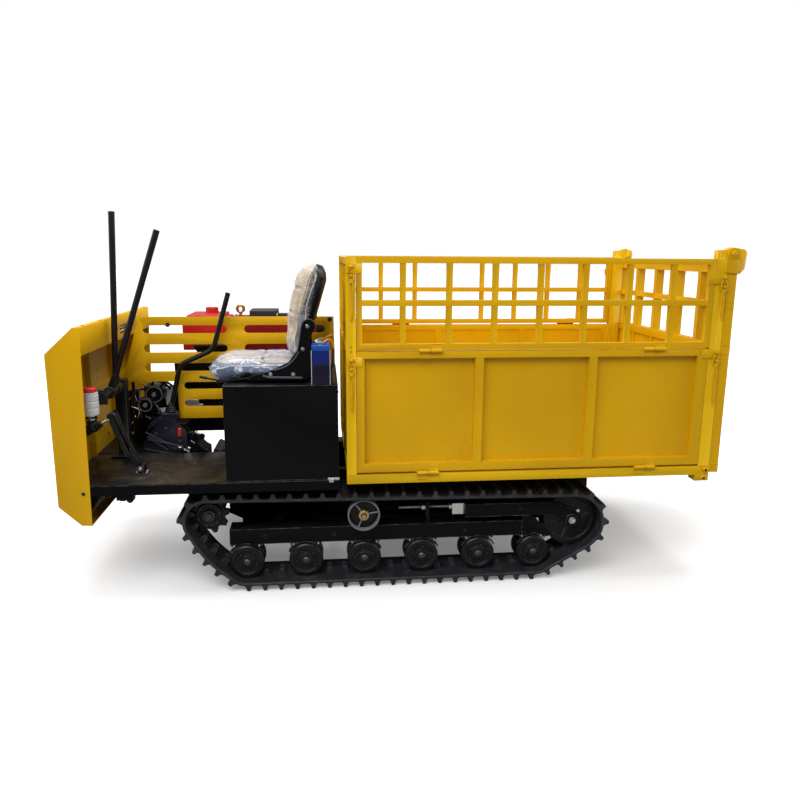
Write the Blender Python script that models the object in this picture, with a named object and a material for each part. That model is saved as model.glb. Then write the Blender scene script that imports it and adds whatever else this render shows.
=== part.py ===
"""Tracked dump cart with a stake-sided load box, driver's platform, engine and crawler tracks.

Metres. +X points to the tailgate, +Z up, and the driver sits on the -Y side. The origin is on the ground,
under the middle of the machine. Each sub-part is one object; a moving one has its origin on its joint's axis.
"""

import math

import bmesh
import bpy
from mathutils import Matrix, Vector

# Driving sizes
HALF_WIDTH = 0.600
BOX_FRONT = -0.270
BOX_BASE = 0.520
BOX_TOP = 1.522
SPLIT = 1.122
RAIL = 0.042
GATE_FRONT = BOX_FRONT + 0.045
GATE_REAR = 1.381
GATE_TUBE = 0.038
MESH_TUBE = 0.025
MESH_FIRST = -0.024
MESH_STEP = 0.2027
TAIL_FRONT = 1.4405
TAIL_REAR = 1.485
TAIL_PIN = (1.455, 1.546)
HINGE_OUT = HALF_WIDTH + 0.009
DUMP_PIVOT = (0.910, 0.480)
HOIST_FOOT = (-0.170, 0.280)
HOIST_HEAD = (0.450, 0.462)

PLATE_TOP = 0.543
PLATE_BASE = 0.494
COWL_REAR = -1.370
COWL_FRONT = -1.517
PANEL_TOP = 1.220

SPROCKET = (-0.905, 0.342)
IDLER = (0.815, 0.279)
CARRIER = (-0.192, 0.347)
ROLLER_FIRST = -0.736
ROLLER_PITCH = 0.274
ROLLER_COUNT = 6
ROLLER_RADIUS = 0.080
TRACK_MIDDLE = 0.440
TRACK_WIDTH = 0.240
BELT = 0.012
LUG = 0.025
LUG_PITCH = 0.0745
SPROCKET_FIT = 0.094
IDLER_FIT = 0.134
ROLLER_HEIGHT = LUG + BELT + ROLLER_RADIUS + 0.0015
BEAM = (0.203, 0.277)

LEVER_SHAFT = (-1.350, 0.900)
PEDAL_PIVOT = (-1.200, 0.572)
MASTER = -0.463
GEAR_PIVOT = (-1.140, 0.735)
GAP = 0.0005

SIDES = (("left", -1), ("right", 1))
YELLOW = (0.80, 0.52, 0.02)
BLACK = (0.012, 0.012, 0.014)
STEEL = (0.10, 0.10, 0.11)
RUBBER = (0.020, 0.020, 0.022)
RED = (0.45, 0.015, 0.02)


def clear_scene():
    for thing in list(bpy.data.objects):
        bpy.data.objects.remove(thing, do_unlink=True)


clear_scene()
PARTS = bpy.data.collections.new("tracked_dump_cart")
HELPERS = bpy.data.collections.new("cutters")
for group in (PARTS, HELPERS):
    bpy.context.scene.collection.children.link(group)
HELPERS.hide_render = True


def material(name, colour, roughness, metallic):
    made = bpy.data.materials.new(name)
    made.use_nodes = True
    shader = made.node_tree.nodes["Principled BSDF"]
    shader.inputs["Base Color"].default_value = (*colour, 1.0)
    shader.inputs["Roughness"].default_value = roughness
    shader.inputs["Metallic"].default_value = metallic
    return made


def piece_from(mesh):
    piece = bpy.data.objects.new("piece", mesh)
    HELPERS.objects.link(piece)
    piece.hide_render = True
    piece.display_type = "WIRE"
    return piece


def piece_from_bmesh(bm):
    bmesh.ops.remove_doubles(bm, verts=bm.verts, dist=1e-6)
    bmesh.ops.recalc_face_normals(bm, faces=bm.faces)
    mesh = bpy.data.meshes.new("piece")
    bm.to_mesh(mesh)
    bm.free()
    return piece_from(mesh)


def piece_from_curve(curve):
    holder = bpy.data.objects.new("curve", curve)
    mesh = bpy.data.meshes.new_from_object(holder)
    bpy.data.objects.remove(holder, do_unlink=True)
    bm = bmesh.new()
    bm.from_mesh(mesh)
    bpy.data.meshes.remove(mesh)
    return bm


def box(xs, ys, zs):
    low = [min(pair) for pair in (xs, ys, zs)]
    high = [max(pair) for pair in (xs, ys, zs)]
    bm = bmesh.new()
    bmesh.ops.create_cube(bm, size=1.0)
    bmesh.ops.scale(bm, verts=bm.verts, vec=[b - a for a, b in zip(low, high)])
    bmesh.ops.translate(bm, verts=bm.verts, vec=[(a + b) / 2 for a, b in zip(low, high)])
    return piece_from_bmesh(bm)


def rod(start, end, radius, sides=16, end_radius=None):
    start, end = Vector(start), Vector(end)
    along = end - start
    bm = bmesh.new()
    bmesh.ops.create_cone(
        bm, cap_ends=True, segments=sides, radius1=radius, radius2=end_radius or radius, depth=along.length
    )
    turn = along.to_track_quat("Z", "Y").to_matrix().to_4x4()
    bmesh.ops.transform(bm, matrix=Matrix.Translation((start + end) / 2) @ turn, verts=bm.verts)
    return piece_from_bmesh(bm)


def cross_rod(place, ys, radius, sides=16):
    """A round bar along Y at the (x, z) place."""
    return rod((place[0], min(ys), place[1]), (place[0], max(ys), place[1]), radius, sides)


def prism(outline, axis, span, holes=()):
    """A flat outline given as (x, z), (y, z) or (x, y) points, made solid between the two spans of its axis."""
    curve = bpy.data.curves.new("outline", "CURVE")
    curve.dimensions = "2D"
    curve.fill_mode = "BOTH"
    curve.extrude = abs(span[1] - span[0]) / 2
    for points in (outline, *holes):
        spline = curve.splines.new("POLY")
        spline.points.add(len(points) - 1)
        spline.use_cyclic_u = True
        for point, (a, b) in zip(spline.points, points):
            point.co = (a, b, 0.0, 1.0)
    bm = piece_from_curve(curve)
    centre = (span[0] + span[1]) / 2
    if axis == "Y":
        turn = Matrix(((1, 0, 0, 0), (0, 0, 1, centre), (0, 1, 0, 0), (0, 0, 0, 1)))
    elif axis == "X":
        turn = Matrix(((0, 0, 1, centre), (1, 0, 0, 0), (0, 1, 0, 0), (0, 0, 0, 1)))
    else:
        turn = Matrix.Translation((0, 0, centre))
    bmesh.ops.transform(bm, matrix=turn, verts=bm.verts)
    return piece_from_bmesh(bm)


def pipe(points, radius, resolution=2):
    curve = bpy.data.curves.new("route", "CURVE")
    curve.dimensions = "3D"
    curve.bevel_depth = radius
    curve.bevel_resolution = resolution
    curve.use_fill_caps = True
    spline = curve.splines.new("POLY")
    spline.points.add(len(points) - 1)
    for point, place in zip(spline.points, points):
        point.co = (*place, 1.0)
    return piece_from_bmesh(piece_from_curve(curve))


def bent(points, radius, steps=3):
    """The route through the points with each corner turned into an arc-like bend."""
    points = [Vector(point) for point in points]
    route = [points[0]]
    for before, corner, after in zip(points, points[1:], points[2:]):
        enter = corner + (before - corner).normalized() * radius
        leave = corner + (after - corner).normalized() * radius
        for step in range(steps + 1):
            t = step / steps
            route.append(enter * (1 - t) ** 2 + corner * 2 * t * (1 - t) + leave * t * t)
    route.append(points[-1])
    return [tuple(place) for place in route]


def turned(profile, place, side=1, sides=24):
    """A closed profile of (radius, y) points turned about the Y axis through the (x, z) place."""
    bm = bmesh.new()
    ring = [bm.verts.new((radius, along * side, 0.0)) for radius, along in profile]
    edges = [bm.edges.new((a, b)) for a, b in zip(ring, ring[1:] + ring[:1])]
    bmesh.ops.spin(
        bm, geom=ring + edges, axis=(0, 1, 0), cent=(0, 0, 0), steps=sides, angle=math.tau, use_duplicate=False
    )
    bmesh.ops.translate(bm, verts=bm.verts, vec=(place[0], 0.0, place[1]))
    bmesh.ops.remove_doubles(bm, verts=bm.verts, dist=1e-6)
    on_axis = [edge for edge in bm.edges if not edge.link_faces]
    bmesh.ops.delete(bm, geom=on_axis, context="EDGES")
    return piece_from_bmesh(bm)


def arc(centre, radius, start, end, steps):
    """Points on a circle from the start to the end angle, in degrees."""
    angles = [math.radians(start + (end - start) * step / steps) for step in range(steps + 1)]
    return [(centre[0] + radius * math.cos(a), centre[1] + radius * math.sin(a)) for a in angles]


def slot(left, right, low, high, steps=6):
    """A long hole with round ends."""
    radius = (high - low) / 2
    middle = (low + high) / 2
    ends = arc((right - radius, middle), radius, -90, 90, steps)
    return ends + arc((left + radius, middle), radius, 90, 270, steps)


def node(name, pieces, finish, cuts=(), origin=(0, 0, 0)):
    """One named sub-part: the union of its pieces, less the cuts."""
    body = pieces[0]
    HELPERS.objects.unlink(body)
    PARTS.objects.link(body)
    body.name = name
    body.data.name = name
    body.hide_render = False
    body.display_type = "TEXTURED"
    for label, others, operation in (("joined", pieces[1:], "UNION"), ("cut", cuts, "DIFFERENCE")):
        if not others:
            continue
        group = bpy.data.collections.new(f"{name}_{label}")
        HELPERS.children.link(group)
        group.hide_render = True
        for other in others:
            HELPERS.objects.unlink(other)
            group.objects.link(other)
        modifier = body.modifiers.new(label, "BOOLEAN")
        modifier.operation = operation
        modifier.operand_type = "COLLECTION"
        modifier.collection = group
        modifier.solver = "EXACT"
    body.data.transform(Matrix.Translation(-Vector(origin)))
    body.location = origin
    body.data.materials.append(material(name, *finish))
    body.data.shade_smooth()
    body.data.set_sharp_from_angle(angle=math.radians(30))
    return body


PAINT_YELLOW = (YELLOW, 0.35, 0.0)
PAINT_BLACK = (BLACK, 0.35, 0.0)
BARE_STEEL = (STEEL, 0.40, 0.8)


# Undercarriage


def belt_path():
    """The middle line of the belt, anticlockwise seen from -Y, as ((x, z), (outward x, z)) samples."""
    front = (SPROCKET, SPROCKET_FIT + BELT / 2)
    rear = (IDLER, IDLER_FIT + BELT / 2)
    first = ((ROLLER_FIRST, ROLLER_HEIGHT), ROLLER_RADIUS + 0.0015 + BELT / 2)
    last_x = ROLLER_FIRST + ROLLER_PITCH * (ROLLER_COUNT - 1)
    last = ((last_x, ROLLER_HEIGHT), first[1])
    wheels = [front, first, last, rear]
    ends = []
    for (a, ra), (b, rb) in zip(wheels, wheels[1:] + wheels[:1]):
        along = Vector((b[0] - a[0], b[1] - a[1]))
        tilt = math.acos((ra - rb) / along.length)
        heading = math.atan2(along.y, along.x) - tilt
        ends.append(heading)
    samples = []
    slack = (0.018, 0.0, 0.0, 0.0)
    for index, (centre, radius) in enumerate(wheels):
        start, stop = ends[index - 1], ends[index]
        while stop < start:
            stop += math.tau
        steps = max(2, round((stop - start) / math.radians(12)))
        for step in range(steps + 1):
            angle = start + (stop - start) * step / steps
            outward = (math.cos(angle), math.sin(angle))
            samples.append(((centre[0] + radius * outward[0], centre[1] + radius * outward[1]), outward))
        if slack[index]:
            following, next_radius = wheels[index + 1]
            outward = (math.cos(stop), math.sin(stop))
            begin = [centre[i] + radius * outward[i] for i in (0, 1)]
            finish = [following[i] + next_radius * outward[i] for i in (0, 1)]
            for step in range(1, 8):
                t = step / 8
                bulge = slack[index] * 4 * t * (1 - t)
                spot = [begin[i] + (finish[i] - begin[i]) * t + outward[i] * bulge for i in (0, 1)]
                samples.append((tuple(spot), outward))
    return samples


def resample(samples):
    """The belt's line by running length: a function from a length to its point and outward direction."""
    points = [Vector(spot) for spot, _ in samples]
    outs = [Vector(out) for _, out in samples]
    runs = [0.0]
    for a, b in zip(points, points[1:] + points[:1]):
        runs.append(runs[-1] + (b - a).length)

    def at(length):
        length %= runs[-1]
        index = max(i for i in range(len(points)) if runs[i] <= length)
        following = (index + 1) % len(points)
        t = (length - runs[index]) / max(runs[index + 1] - runs[index], 1e-9)
        out = outs[index].lerp(outs[following], t).normalized()
        return points[index].lerp(points[following], t), out

    return at, runs[-1], runs


def track(side_name, side):
    samples = belt_path()
    at, total, runs = resample(samples)
    lugs = round(total / LUG_PITCH)
    pitch = total / lugs
    outer = []
    for lug in range(lugs):
        middle = lug * pitch
        for offset, height in ((-0.015, 0.0), (-0.007, LUG), (0.007, LUG), (0.015, 0.0)):
            spot, out = at(middle + offset)
            outer.append(tuple(spot + out * (BELT / 2 + height)))
    inner = [tuple(Vector(spot) - Vector(out) * BELT / 2) for spot, out in samples]
    near = side * (TRACK_MIDDLE - TRACK_WIDTH / 2)
    far = side * (TRACK_MIDDLE + TRACK_WIDTH / 2)
    belt = prism(outer, "Y", (near, far), holes=(inner,))
    node(f"track_{side_name}", [belt], (RUBBER, 0.75, 0.0))


def roller_places():
    return [(ROLLER_FIRST + ROLLER_PITCH * index, ROLLER_HEIGHT) for index in range(ROLLER_COUNT)]


def track_frame(side_name, side):
    beam_inner, beam_outer = side * 0.390, side * 0.490
    pieces = [box((-0.813, 0.600), (beam_inner, beam_outer), BEAM)]
    holes = []
    for x, z in roller_places():
        pieces.append(box((x - 0.032, x + 0.032), (side * 0.426, side * 0.454), (z - 0.028, BEAM[0] + 0.004)))
        holes.append(cross_rod((x, z), (side * 0.41, side * 0.47), 0.0192, 12))
    pieces.append(box((0.590, 0.672), (side * 0.422, side * 0.458), (0.190, 0.250)))
    pieces.append(box((CARRIER[0] - 0.035, CARRIER[0] + 0.035), (side * 0.42, side * 0.48), (0.270, 0.375)))
    pieces.append(cross_rod(CARRIER, (side * 0.47, side * 0.556), 0.0125, 10))
    anchor = box((0.108, 0.122), (side * 0.430, side * 0.480), (0.270, 0.380))
    pieces.append(anchor)
    holes.append(rod((0.09, side * 0.455, 0.350), (0.14, side * 0.455, 0.350), 0.0095))
    strap = ((0.575, 0.215), (0.575, 0.300), (0.625, 0.300), (0.735, 0.207), (0.698, 0.192), (0.640, 0.215))
    pieces.append(prism(strap, "Y", (side * 0.488, side * 0.498)))
    node(f"track_frame_{side_name}", pieces, PAINT_BLACK, holes)


def road_roller(side_name, side, index, place):
    outline = (
        (0.0, 0.378), (0.058, 0.378), (0.080, 0.384), (0.080, 0.410), (0.018, 0.410), (0.018, 0.470),
        (0.080, 0.470), (0.080, 0.496), (0.058, 0.502), (0.0, 0.502),
    )
    wheel = turned(outline, place, side, 12)
    centre = (place[0], side * TRACK_MIDDLE, place[1])
    node(f"road_roller_{side_name}_{index}", [wheel], (BLACK, 0.45, 0.3), origin=centre)


def sprocket(side_name, side):
    teeth = 9
    outline = []
    for tooth in range(teeth):
        turn = 360 / teeth * tooth
        for offset, radius in ((-13, 0.072), (-5.5, 0.0925), (5.5, 0.0925), (13, 0.072)):
            angle = math.radians(turn + offset + 6)
            outline.append((SPROCKET[0] + radius * math.cos(angle), SPROCKET[1] + radius * math.sin(angle)))
    pieces = [
        prism(outline, "Y", (side * 0.425, side * 0.455)),
        cross_rod(SPROCKET, (side * 0.400, side * 0.470), 0.062, 16),
        cross_rod(SPROCKET, (side * 0.310, side * 0.488), 0.026, 10),
    ]
    centre = (SPROCKET[0], side * TRACK_MIDDLE, SPROCKET[1])
    node(f"drive_sprocket_{side_name}", pieces, (STEEL, 0.55, 0.5), origin=centre)


def idler(side_name, side):
    outline = (
        (0.0165, 0.386), (0.050, 0.386), (0.062, 0.394), (0.1325, 0.396), (0.1325, 0.409), (0.100, 0.411),
        (0.100, 0.469), (0.1325, 0.471), (0.1325, 0.484), (0.062, 0.486), (0.050, 0.494), (0.0165, 0.494),
    )
    wheel = turned(outline, IDLER, side, 18)
    node(f"idler_{side_name}", [wheel], (BLACK, 0.45, 0.3), origin=(IDLER[0], side * TRACK_MIDDLE, IDLER[1]))


def tension_yoke(side_name, side):
    """The fork that carries the idler, with its bar and screw."""
    middle = side * 0.455
    arm = ((0.560, 0.309), (0.560, 0.375), (0.720, 0.375), *arc(IDLER, 0.050, 80, -80, 6), (0.720, 0.309))
    pieces = [
        box((0.290, 0.640), (side * 0.418, side * 0.512), (0.309, 0.375)),
        prism(arm, "Y", (side * 0.500, side * 0.512)),
        prism(arm, "Y", (side * 0.366, side * 0.378)),
        box((0.600, 0.640), (side * 0.366, side * 0.512), (0.309, 0.375)),
        cross_rod(IDLER, (side * 0.366, side * 0.522), 0.0155, 12),
        box((0.234, 0.300), (side * 0.426, side * 0.484), (0.318, 0.372)),
        rod((0.240, middle, 0.350), (-0.020, middle, 0.350), 0.0085, 8),
        rod((0.104, middle, 0.350), (0.088, middle, 0.350), 0.016, 6),
    ]
    node(f"tension_yoke_{side_name}", pieces, PAINT_BLACK)


def carrier_wheel(side_name, side):
    rim = ((0.068, 0.500), (0.0755, 0.500), (0.0755, 0.545), (0.068, 0.545))
    hub = ((0.0138, 0.497), (0.026, 0.497), (0.026, 0.548), (0.0138, 0.548))
    pieces = [turned(rim, CARRIER, side, 20), turned(hub, CARRIER, side, 10)]
    for spoke in range(3):
        angle = math.radians(8 + 120 * spoke)
        along = Vector((math.cos(angle), 0, math.sin(angle)))
        middle = Vector((CARRIER[0], side * 0.522, CARRIER[1]))
        pieces.append(rod(middle + along * 0.022, middle + along * 0.071, 0.007, 6))
    centre = (CARRIER[0], side * 0.522, CARRIER[1])
    node(f"carrier_wheel_{side_name}", pieces, (STEEL, 0.40, 0.6), origin=centre)


def chassis_frame():
    plate = (
        (-0.835, 0.493), (-0.835, 0.285), (-0.764, 0.250), (-0.764, 0.200), (0.700, 0.200), (0.970, 0.320),
        (0.970, 0.493),
    )
    pieces = [prism(plate, "Y", (side * 0.240, side * 0.285)) for _, side in SIDES]
    for x0, x1 in ((-0.780, -0.720), (-0.260, -0.200), (0.640, 0.700)):
        pieces.append(box((x0, x1), (-0.245, 0.245), (0.205, 0.265)))
    pieces.append(box((-0.760, -0.700), (-0.245, 0.245), (0.430, 0.490)))
    for _, side in SIDES:
        for x in (-0.550, 0.450):
            pieces.append(cross_rod((x, 0.240), (side * 0.270, side * (0.390 - GAP)), 0.030, 12))
        ear = ((HOIST_FOOT[0] - 0.040, 0.210), (HOIST_FOOT[0] - 0.040, 0.290), *arc(HOIST_FOOT, 0.030, 150, 0, 4),
               (HOIST_FOOT[0] + 0.010, 0.210))
        pieces.append(prism(ear, "Y", (side * 0.028, side * 0.040)))
    pieces.append(cross_rod(HOIST_FOOT, (-0.042, 0.042), 0.0122, 12))
    pieces.append(cross_rod(DUMP_PIVOT, (-0.250, -0.180), 0.018))
    pieces.append(cross_rod(DUMP_PIVOT, (0.250, 0.180), 0.018))
    node("chassis_frame", pieces, PAINT_BLACK)


# Driver's platform


def platform():
    edge = 0.595
    under = (PLATE_BASE, PLATE_TOP - 0.004)
    cross = (PLATE_BASE + 0.0015, PLATE_TOP - 0.0035)
    pieces = [box((-1.505, -0.303), (-edge, -0.092), (PLATE_TOP - 0.005, PLATE_TOP))]
    for ys in ((-edge, -0.555), (0.555, edge)):
        pieces.append(box((-1.505, -0.303), ys, under))
    pieces.append(box((-1.505, -0.303), (-0.132, -0.092), under))
    for xs in ((-1.470, -1.420), (-0.740, -0.690), (-0.343, -0.303)):
        pieces.append(box(xs, (-edge + 0.002, edge - 0.002), cross))
    for ys in ((0.160, 0.205), (0.375, 0.420)):
        pieces.append(box((-0.860, -0.310), ys, (PLATE_BASE + 0.003, 0.618)))
    pieces.append(box((-1.060, -0.303), (0.085, 0.125), (0.620, 0.700)))
    for xs in ((-0.735, -0.695), (-0.343, -0.303)):
        pieces.append(box(xs, (0.087, 0.123), (0.520, 0.640)))
    gusset = ((-1.505, 0.500), (-1.323, 0.500), (-1.375, 0.425), (-1.475, 0.425), (-1.505, 0.456))
    for ys in ((-0.560, -0.545), (0.545, 0.560)):
        pieces.append(prism(gusset, "Y", ys))
    pieces.append(box((-1.276, -1.202), (-0.590, -0.560), (0.470, 0.500)))
    node("platform", pieces, (BLACK, 0.6, 0.1))


def front_cowl():
    """A folded tray: side flanges, front sheet, sloped shoulder, flat top and the lip that hangs from it."""
    thick = 0.004
    outline = [
        (COWL_REAR, 1.227), (-1.399, 1.227), (COWL_FRONT, 1.117), (COWL_FRONT, 0.451), (-1.426, 0.364),
        (-1.383, 0.361),
    ]
    inside = [
        (COWL_REAR - thick, 1.110), (COWL_REAR - thick, 1.223), (-1.397, 1.223), (COWL_FRONT + thick, 1.1155),
        (COWL_FRONT + thick, 0.4525), (-1.4245, 0.368), (-1.383, 0.365),
    ]
    sheet = outline[:1] + outline[1:] + inside[::-1] + [(COWL_REAR, 1.110)]
    pieces = [prism(sheet, "Y", (-HALF_WIDTH, HALF_WIDTH))]
    for _, side in SIDES:
        pieces.append(prism(outline, "Y", (side * (HALF_WIDTH - thick), side * HALF_WIDTH)))
    window = box((COWL_REAR - 0.02, COWL_REAR + 0.02), (0.000, 0.130), (1.135, 1.175))
    node("front_cowl", pieces, PAINT_YELLOW, [window])


def guard_panel():
    outline = (
        (-1.278, PANEL_TOP), (-0.313, PANEL_TOP), (-0.313, 0.700), (-1.105, 0.700), (-1.110, 0.893), (-1.378, 0.893),
    )
    holes = []
    for low in (1.137, 1.041, 0.945):
        for left, right in ((-1.262, -0.850), (-0.765, -0.358)):
            holes.append(slot(left, right, low, low + 0.040))
    for low in (0.852, 0.762):
        for left, right in ((-1.075, -0.850), (-0.765, -0.358)):
            holes.append(slot(left, right, low, low + 0.036))
    pieces = [prism(outline, "Y", (0.000, 0.004), holes)]
    pieces.append(box((-0.353, -0.313), (0.003, 0.033), (PLATE_TOP - 0.0035, 0.720)))
    pieces.append(box((-0.353, -0.313), (0.003, 0.008), (0.700, 1.200)))
    node("guard_panel", pieces, PAINT_YELLOW)


def seat_base():
    outer = box((-0.802, -0.306), (-0.593, -0.012), (PLATE_TOP + GAP, 0.973))
    hollow = box((-0.799, -0.309), (-0.590, -0.015), (PLATE_TOP - 0.01, 0.970))
    rails = [box((-0.700, -0.430), ys, (0.972, 0.985)) for ys in ((-0.470, -0.445), (-0.155, -0.130))]
    node("seat_base", [outer, *rails], PAINT_BLACK, [hollow])


def seat_frame():
    """The pan under the seat with its two side brackets and the plate behind the backrest."""
    bracket = (
        (-0.700, 0.986), (-0.440, 0.986), (-0.4245, 1.010), (-0.4245, 1.172), (-0.398, 1.222),
        *arc((-0.430, 1.224), 0.032, 0, 180, 6),
        (-0.480, 1.120), (-0.520, 1.066), (-0.610, 1.024), (-0.690, 1.004),
    )
    pieces = [prism(bracket, "Y", ys) for ys in ((-0.532, -0.524), (-0.076, -0.068))]
    pieces.append(box((-0.700, -0.440), (-0.530, -0.070), (0.986, 0.994)))
    pan = ((-0.845, 0.968), (-0.845, 0.974), (-0.700, 0.994), (-0.660, 0.994), (-0.660, 0.986), (-0.700, 0.986))
    pieces.append(prism(pan, "Y", (-0.500, -0.100)))
    back = ((-0.438, 1.178), (-0.360, 1.440), (-0.385, 1.488), (-0.372, 1.492), (-0.346, 1.440), (-0.400, 1.178))
    pieces.append(prism(back, "Y", (-0.526, -0.074)))
    node("seat_frame", pieces, PAINT_BLACK, origin=(-0.570, -0.300, 0.986))


def cushion(name, outline, colour):
    block = prism(outline, "Y", (-0.516, -0.084))
    node(name, [block], (colour, 0.55, 0.0))


def seat_cushions():
    seat = (
        (-0.470, 0.996), (-0.470, 1.060), (-0.560, 1.070), (-0.800, 1.072), (-0.862, 1.050), (-0.876, 1.005),
        (-0.850, 0.976), (-0.700, 0.996),
    )
    back = (
        (-0.455, 1.072), (-0.440, 1.177), (-0.363, 1.440), (-0.388, 1.483), (-0.440, 1.468), (-0.476, 1.420), (-0.520, 1.280),
        (-0.530, 1.150), (-0.520, 1.072),
    )
    cushion("seat_cushion", seat, (0.55, 0.47, 0.36))
    cushion("seat_back", back, (0.50, 0.42, 0.32))


def battery():
    case = box((-0.418, -0.341), (-0.590, -0.420), (0.9735, 1.150))
    posts = [rod((-0.380, y, 1.145), (-0.380, y, 1.170), 0.009, 12) for y in (-0.560, -0.450)]
    node("battery", [case, *posts], ((0.005, 0.03, 0.35), 0.3, 0.0))


def engine():
    red = (RED, 0.35, 0.0)
    block = [
        box((-0.960, -0.430), (0.150, 0.430), (0.6185, 0.960)),
        box((-0.860, -0.400), (0.170, 0.410), (0.950, 1.195)),
        box((-1.040, -0.950), (0.220, 0.360), (0.700, 0.900)),
        box((-1.100, -0.950), (0.155, 0.225), (0.702, 0.990)),
        cross_rod((-0.700, 0.860), (0.120, 0.440), 0.110, 20),
        cross_rod((-0.700, 0.860), (0.430, 0.470), 0.045, 16),
        box((-0.830, -0.794), (0.285, 0.300), (1.180, 1.225)),
    ]
    ring = prism(arc((-0.812, 1.238), 0.026, 0, 345, 15), "Y", (0.285, 0.300))
    hole = cross_rod((-0.812, 1.238), (0.270, 0.310), 0.013, 12)
    cleaner = [
        box((-0.760, -0.610), (0.240, 0.400), (1.190, 1.232)),
        rod((-0.520, 0.290, 1.190), (-0.520, 0.290, 1.230), 0.022, 16),
        box((-0.640, -0.520), (0.265, 0.315), (1.190, 1.215)),
    ]
    node("engine_block", [*block, ring, *cleaner], red, [hole])
    tank = [
        box((-1.100, -0.870), (0.160, 0.460), (1.030, 1.195)),
        box((-1.080, -0.890), (0.180, 0.440), (1.190, 1.212)),
        rod((-0.965, 0.310, 1.205), (-0.965, 0.310, 1.245), 0.032, 20),
        box((-1.040, -0.990), (0.230, 0.350), (0.9005, 1.035)),
    ]
    node("fuel_tank", tank, red)
    wheel = turned(
        ((0.0, 0.4705), (0.050, 0.4705), (0.060, 0.485), (0.165, 0.474), (0.170, 0.480), (0.170, 0.518),
         (0.162, 0.524), (0.130, 0.524), (0.110, 0.505), (0.050, 0.505), (0.045, 0.535), (0.0, 0.535)),
        (-0.700, 0.860), 1, 20,
    )
    node("flywheel", [wheel], BARE_STEEL, origin=(-0.700, 0.500, 0.860))


def gearbox():
    outline = (
        (-1.175, 0.715), (-1.120, 0.715), (-1.108, 0.697), (-1.060, 0.650), (-1.060, 0.500), (-0.860, 0.420), (-0.860, 0.275),
        (-1.000, 0.275), (-1.240, 0.420), (-1.290, 0.570), (-1.230, 0.660),
    )
    pieces = [prism(outline, "Y", (-0.080, 0.070))]
    ribs = (((-1.270, 0.560), (-1.080, 0.520)), ((-1.250, 0.610), (-1.080, 0.570)))
    for (x0, z0), (x1, z1) in ribs:
        pieces.append(rod((x0, -0.080, z0), (x1, -0.080, z1), 0.007, 8))
    pieces.append(cross_rod(SPROCKET, (-0.305, 0.305), 0.058, 20))
    pieces.append(cross_rod((-1.170, 0.600), (0.060, 0.220), 0.060, 20))
    pieces.append(rod((GEAR_PIVOT[0], -0.045, 0.680), (GEAR_PIVOT[0], -0.045, 0.728), 0.032, 16, 0.024))
    pieces.append(rod((-1.085, -0.070, 0.560), (-1.085, -0.098, 0.560), 0.010, 10))
    seat = rod((GEAR_PIVOT[0], -0.045, 0.715), (GEAR_PIVOT[0], -0.045, 0.740), 0.018, 12)
    node("gearbox", pieces, ((0.008, 0.010, 0.030), 0.4, 0.1), [seat])


def gear_lever():
    y = -0.045
    route = bent(
        ((GEAR_PIVOT[0], y, 0.722), (-1.132, y, 0.782), (-1.080, y, 0.986), (-0.915, y, 1.059), (-0.831, y, 1.341)),
        0.035,
    )
    shaft = pipe(route, 0.0125, 1)
    ball = bmesh.new()
    bmesh.ops.create_uvsphere(ball, u_segments=10, v_segments=6, radius=0.016)
    bmesh.ops.translate(ball, verts=ball.verts, vec=(GEAR_PIVOT[0], y, GEAR_PIVOT[1]))
    node("gear_lever", [shaft, piece_from_bmesh(ball)], PAINT_BLACK, origin=(GEAR_PIVOT[0], y, GEAR_PIVOT[1]))


def controls():
    x, z = LEVER_SHAFT
    stand = [
        cross_rod(LEVER_SHAFT, (-0.425, -0.100), 0.0195),
        box((x - 0.026, x + 0.026), (-0.150, -0.096), (PLATE_TOP + GAP, z + 0.030)),
        box((COWL_FRONT + 0.0045, x + 0.020), (-0.425, -0.417), (z - 0.035, z + 0.030)),
        box((x - 0.060, x + 0.060), (-0.175, -0.093), (PLATE_TOP + GAP, PLATE_TOP + 0.009)),
    ]
    node("lever_stand", stand, PAINT_BLACK)
    for name, y, top in (("left", -0.300, (-1.099, 1.632)), ("right", -0.215, (-1.312, 1.715))):
        sleeve = turned(((0.0200, -0.028), (0.027, -0.028), (0.027, 0.028), (0.0200, 0.028)), LEVER_SHAFT, 1, 20)
        sleeve.data.transform(Matrix.Translation((0, y, 0)))
        along = (Vector((top[0], y, top[1])) - Vector((x, y, z))).normalized()
        arm = rod(Vector((x, y, z)) + along * 0.0235, (top[0], y, top[1]), 0.014, 12)
        node(f"steering_lever_{name}", [sleeve, arm], PAINT_BLACK, origin=(x, y, z))


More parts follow.
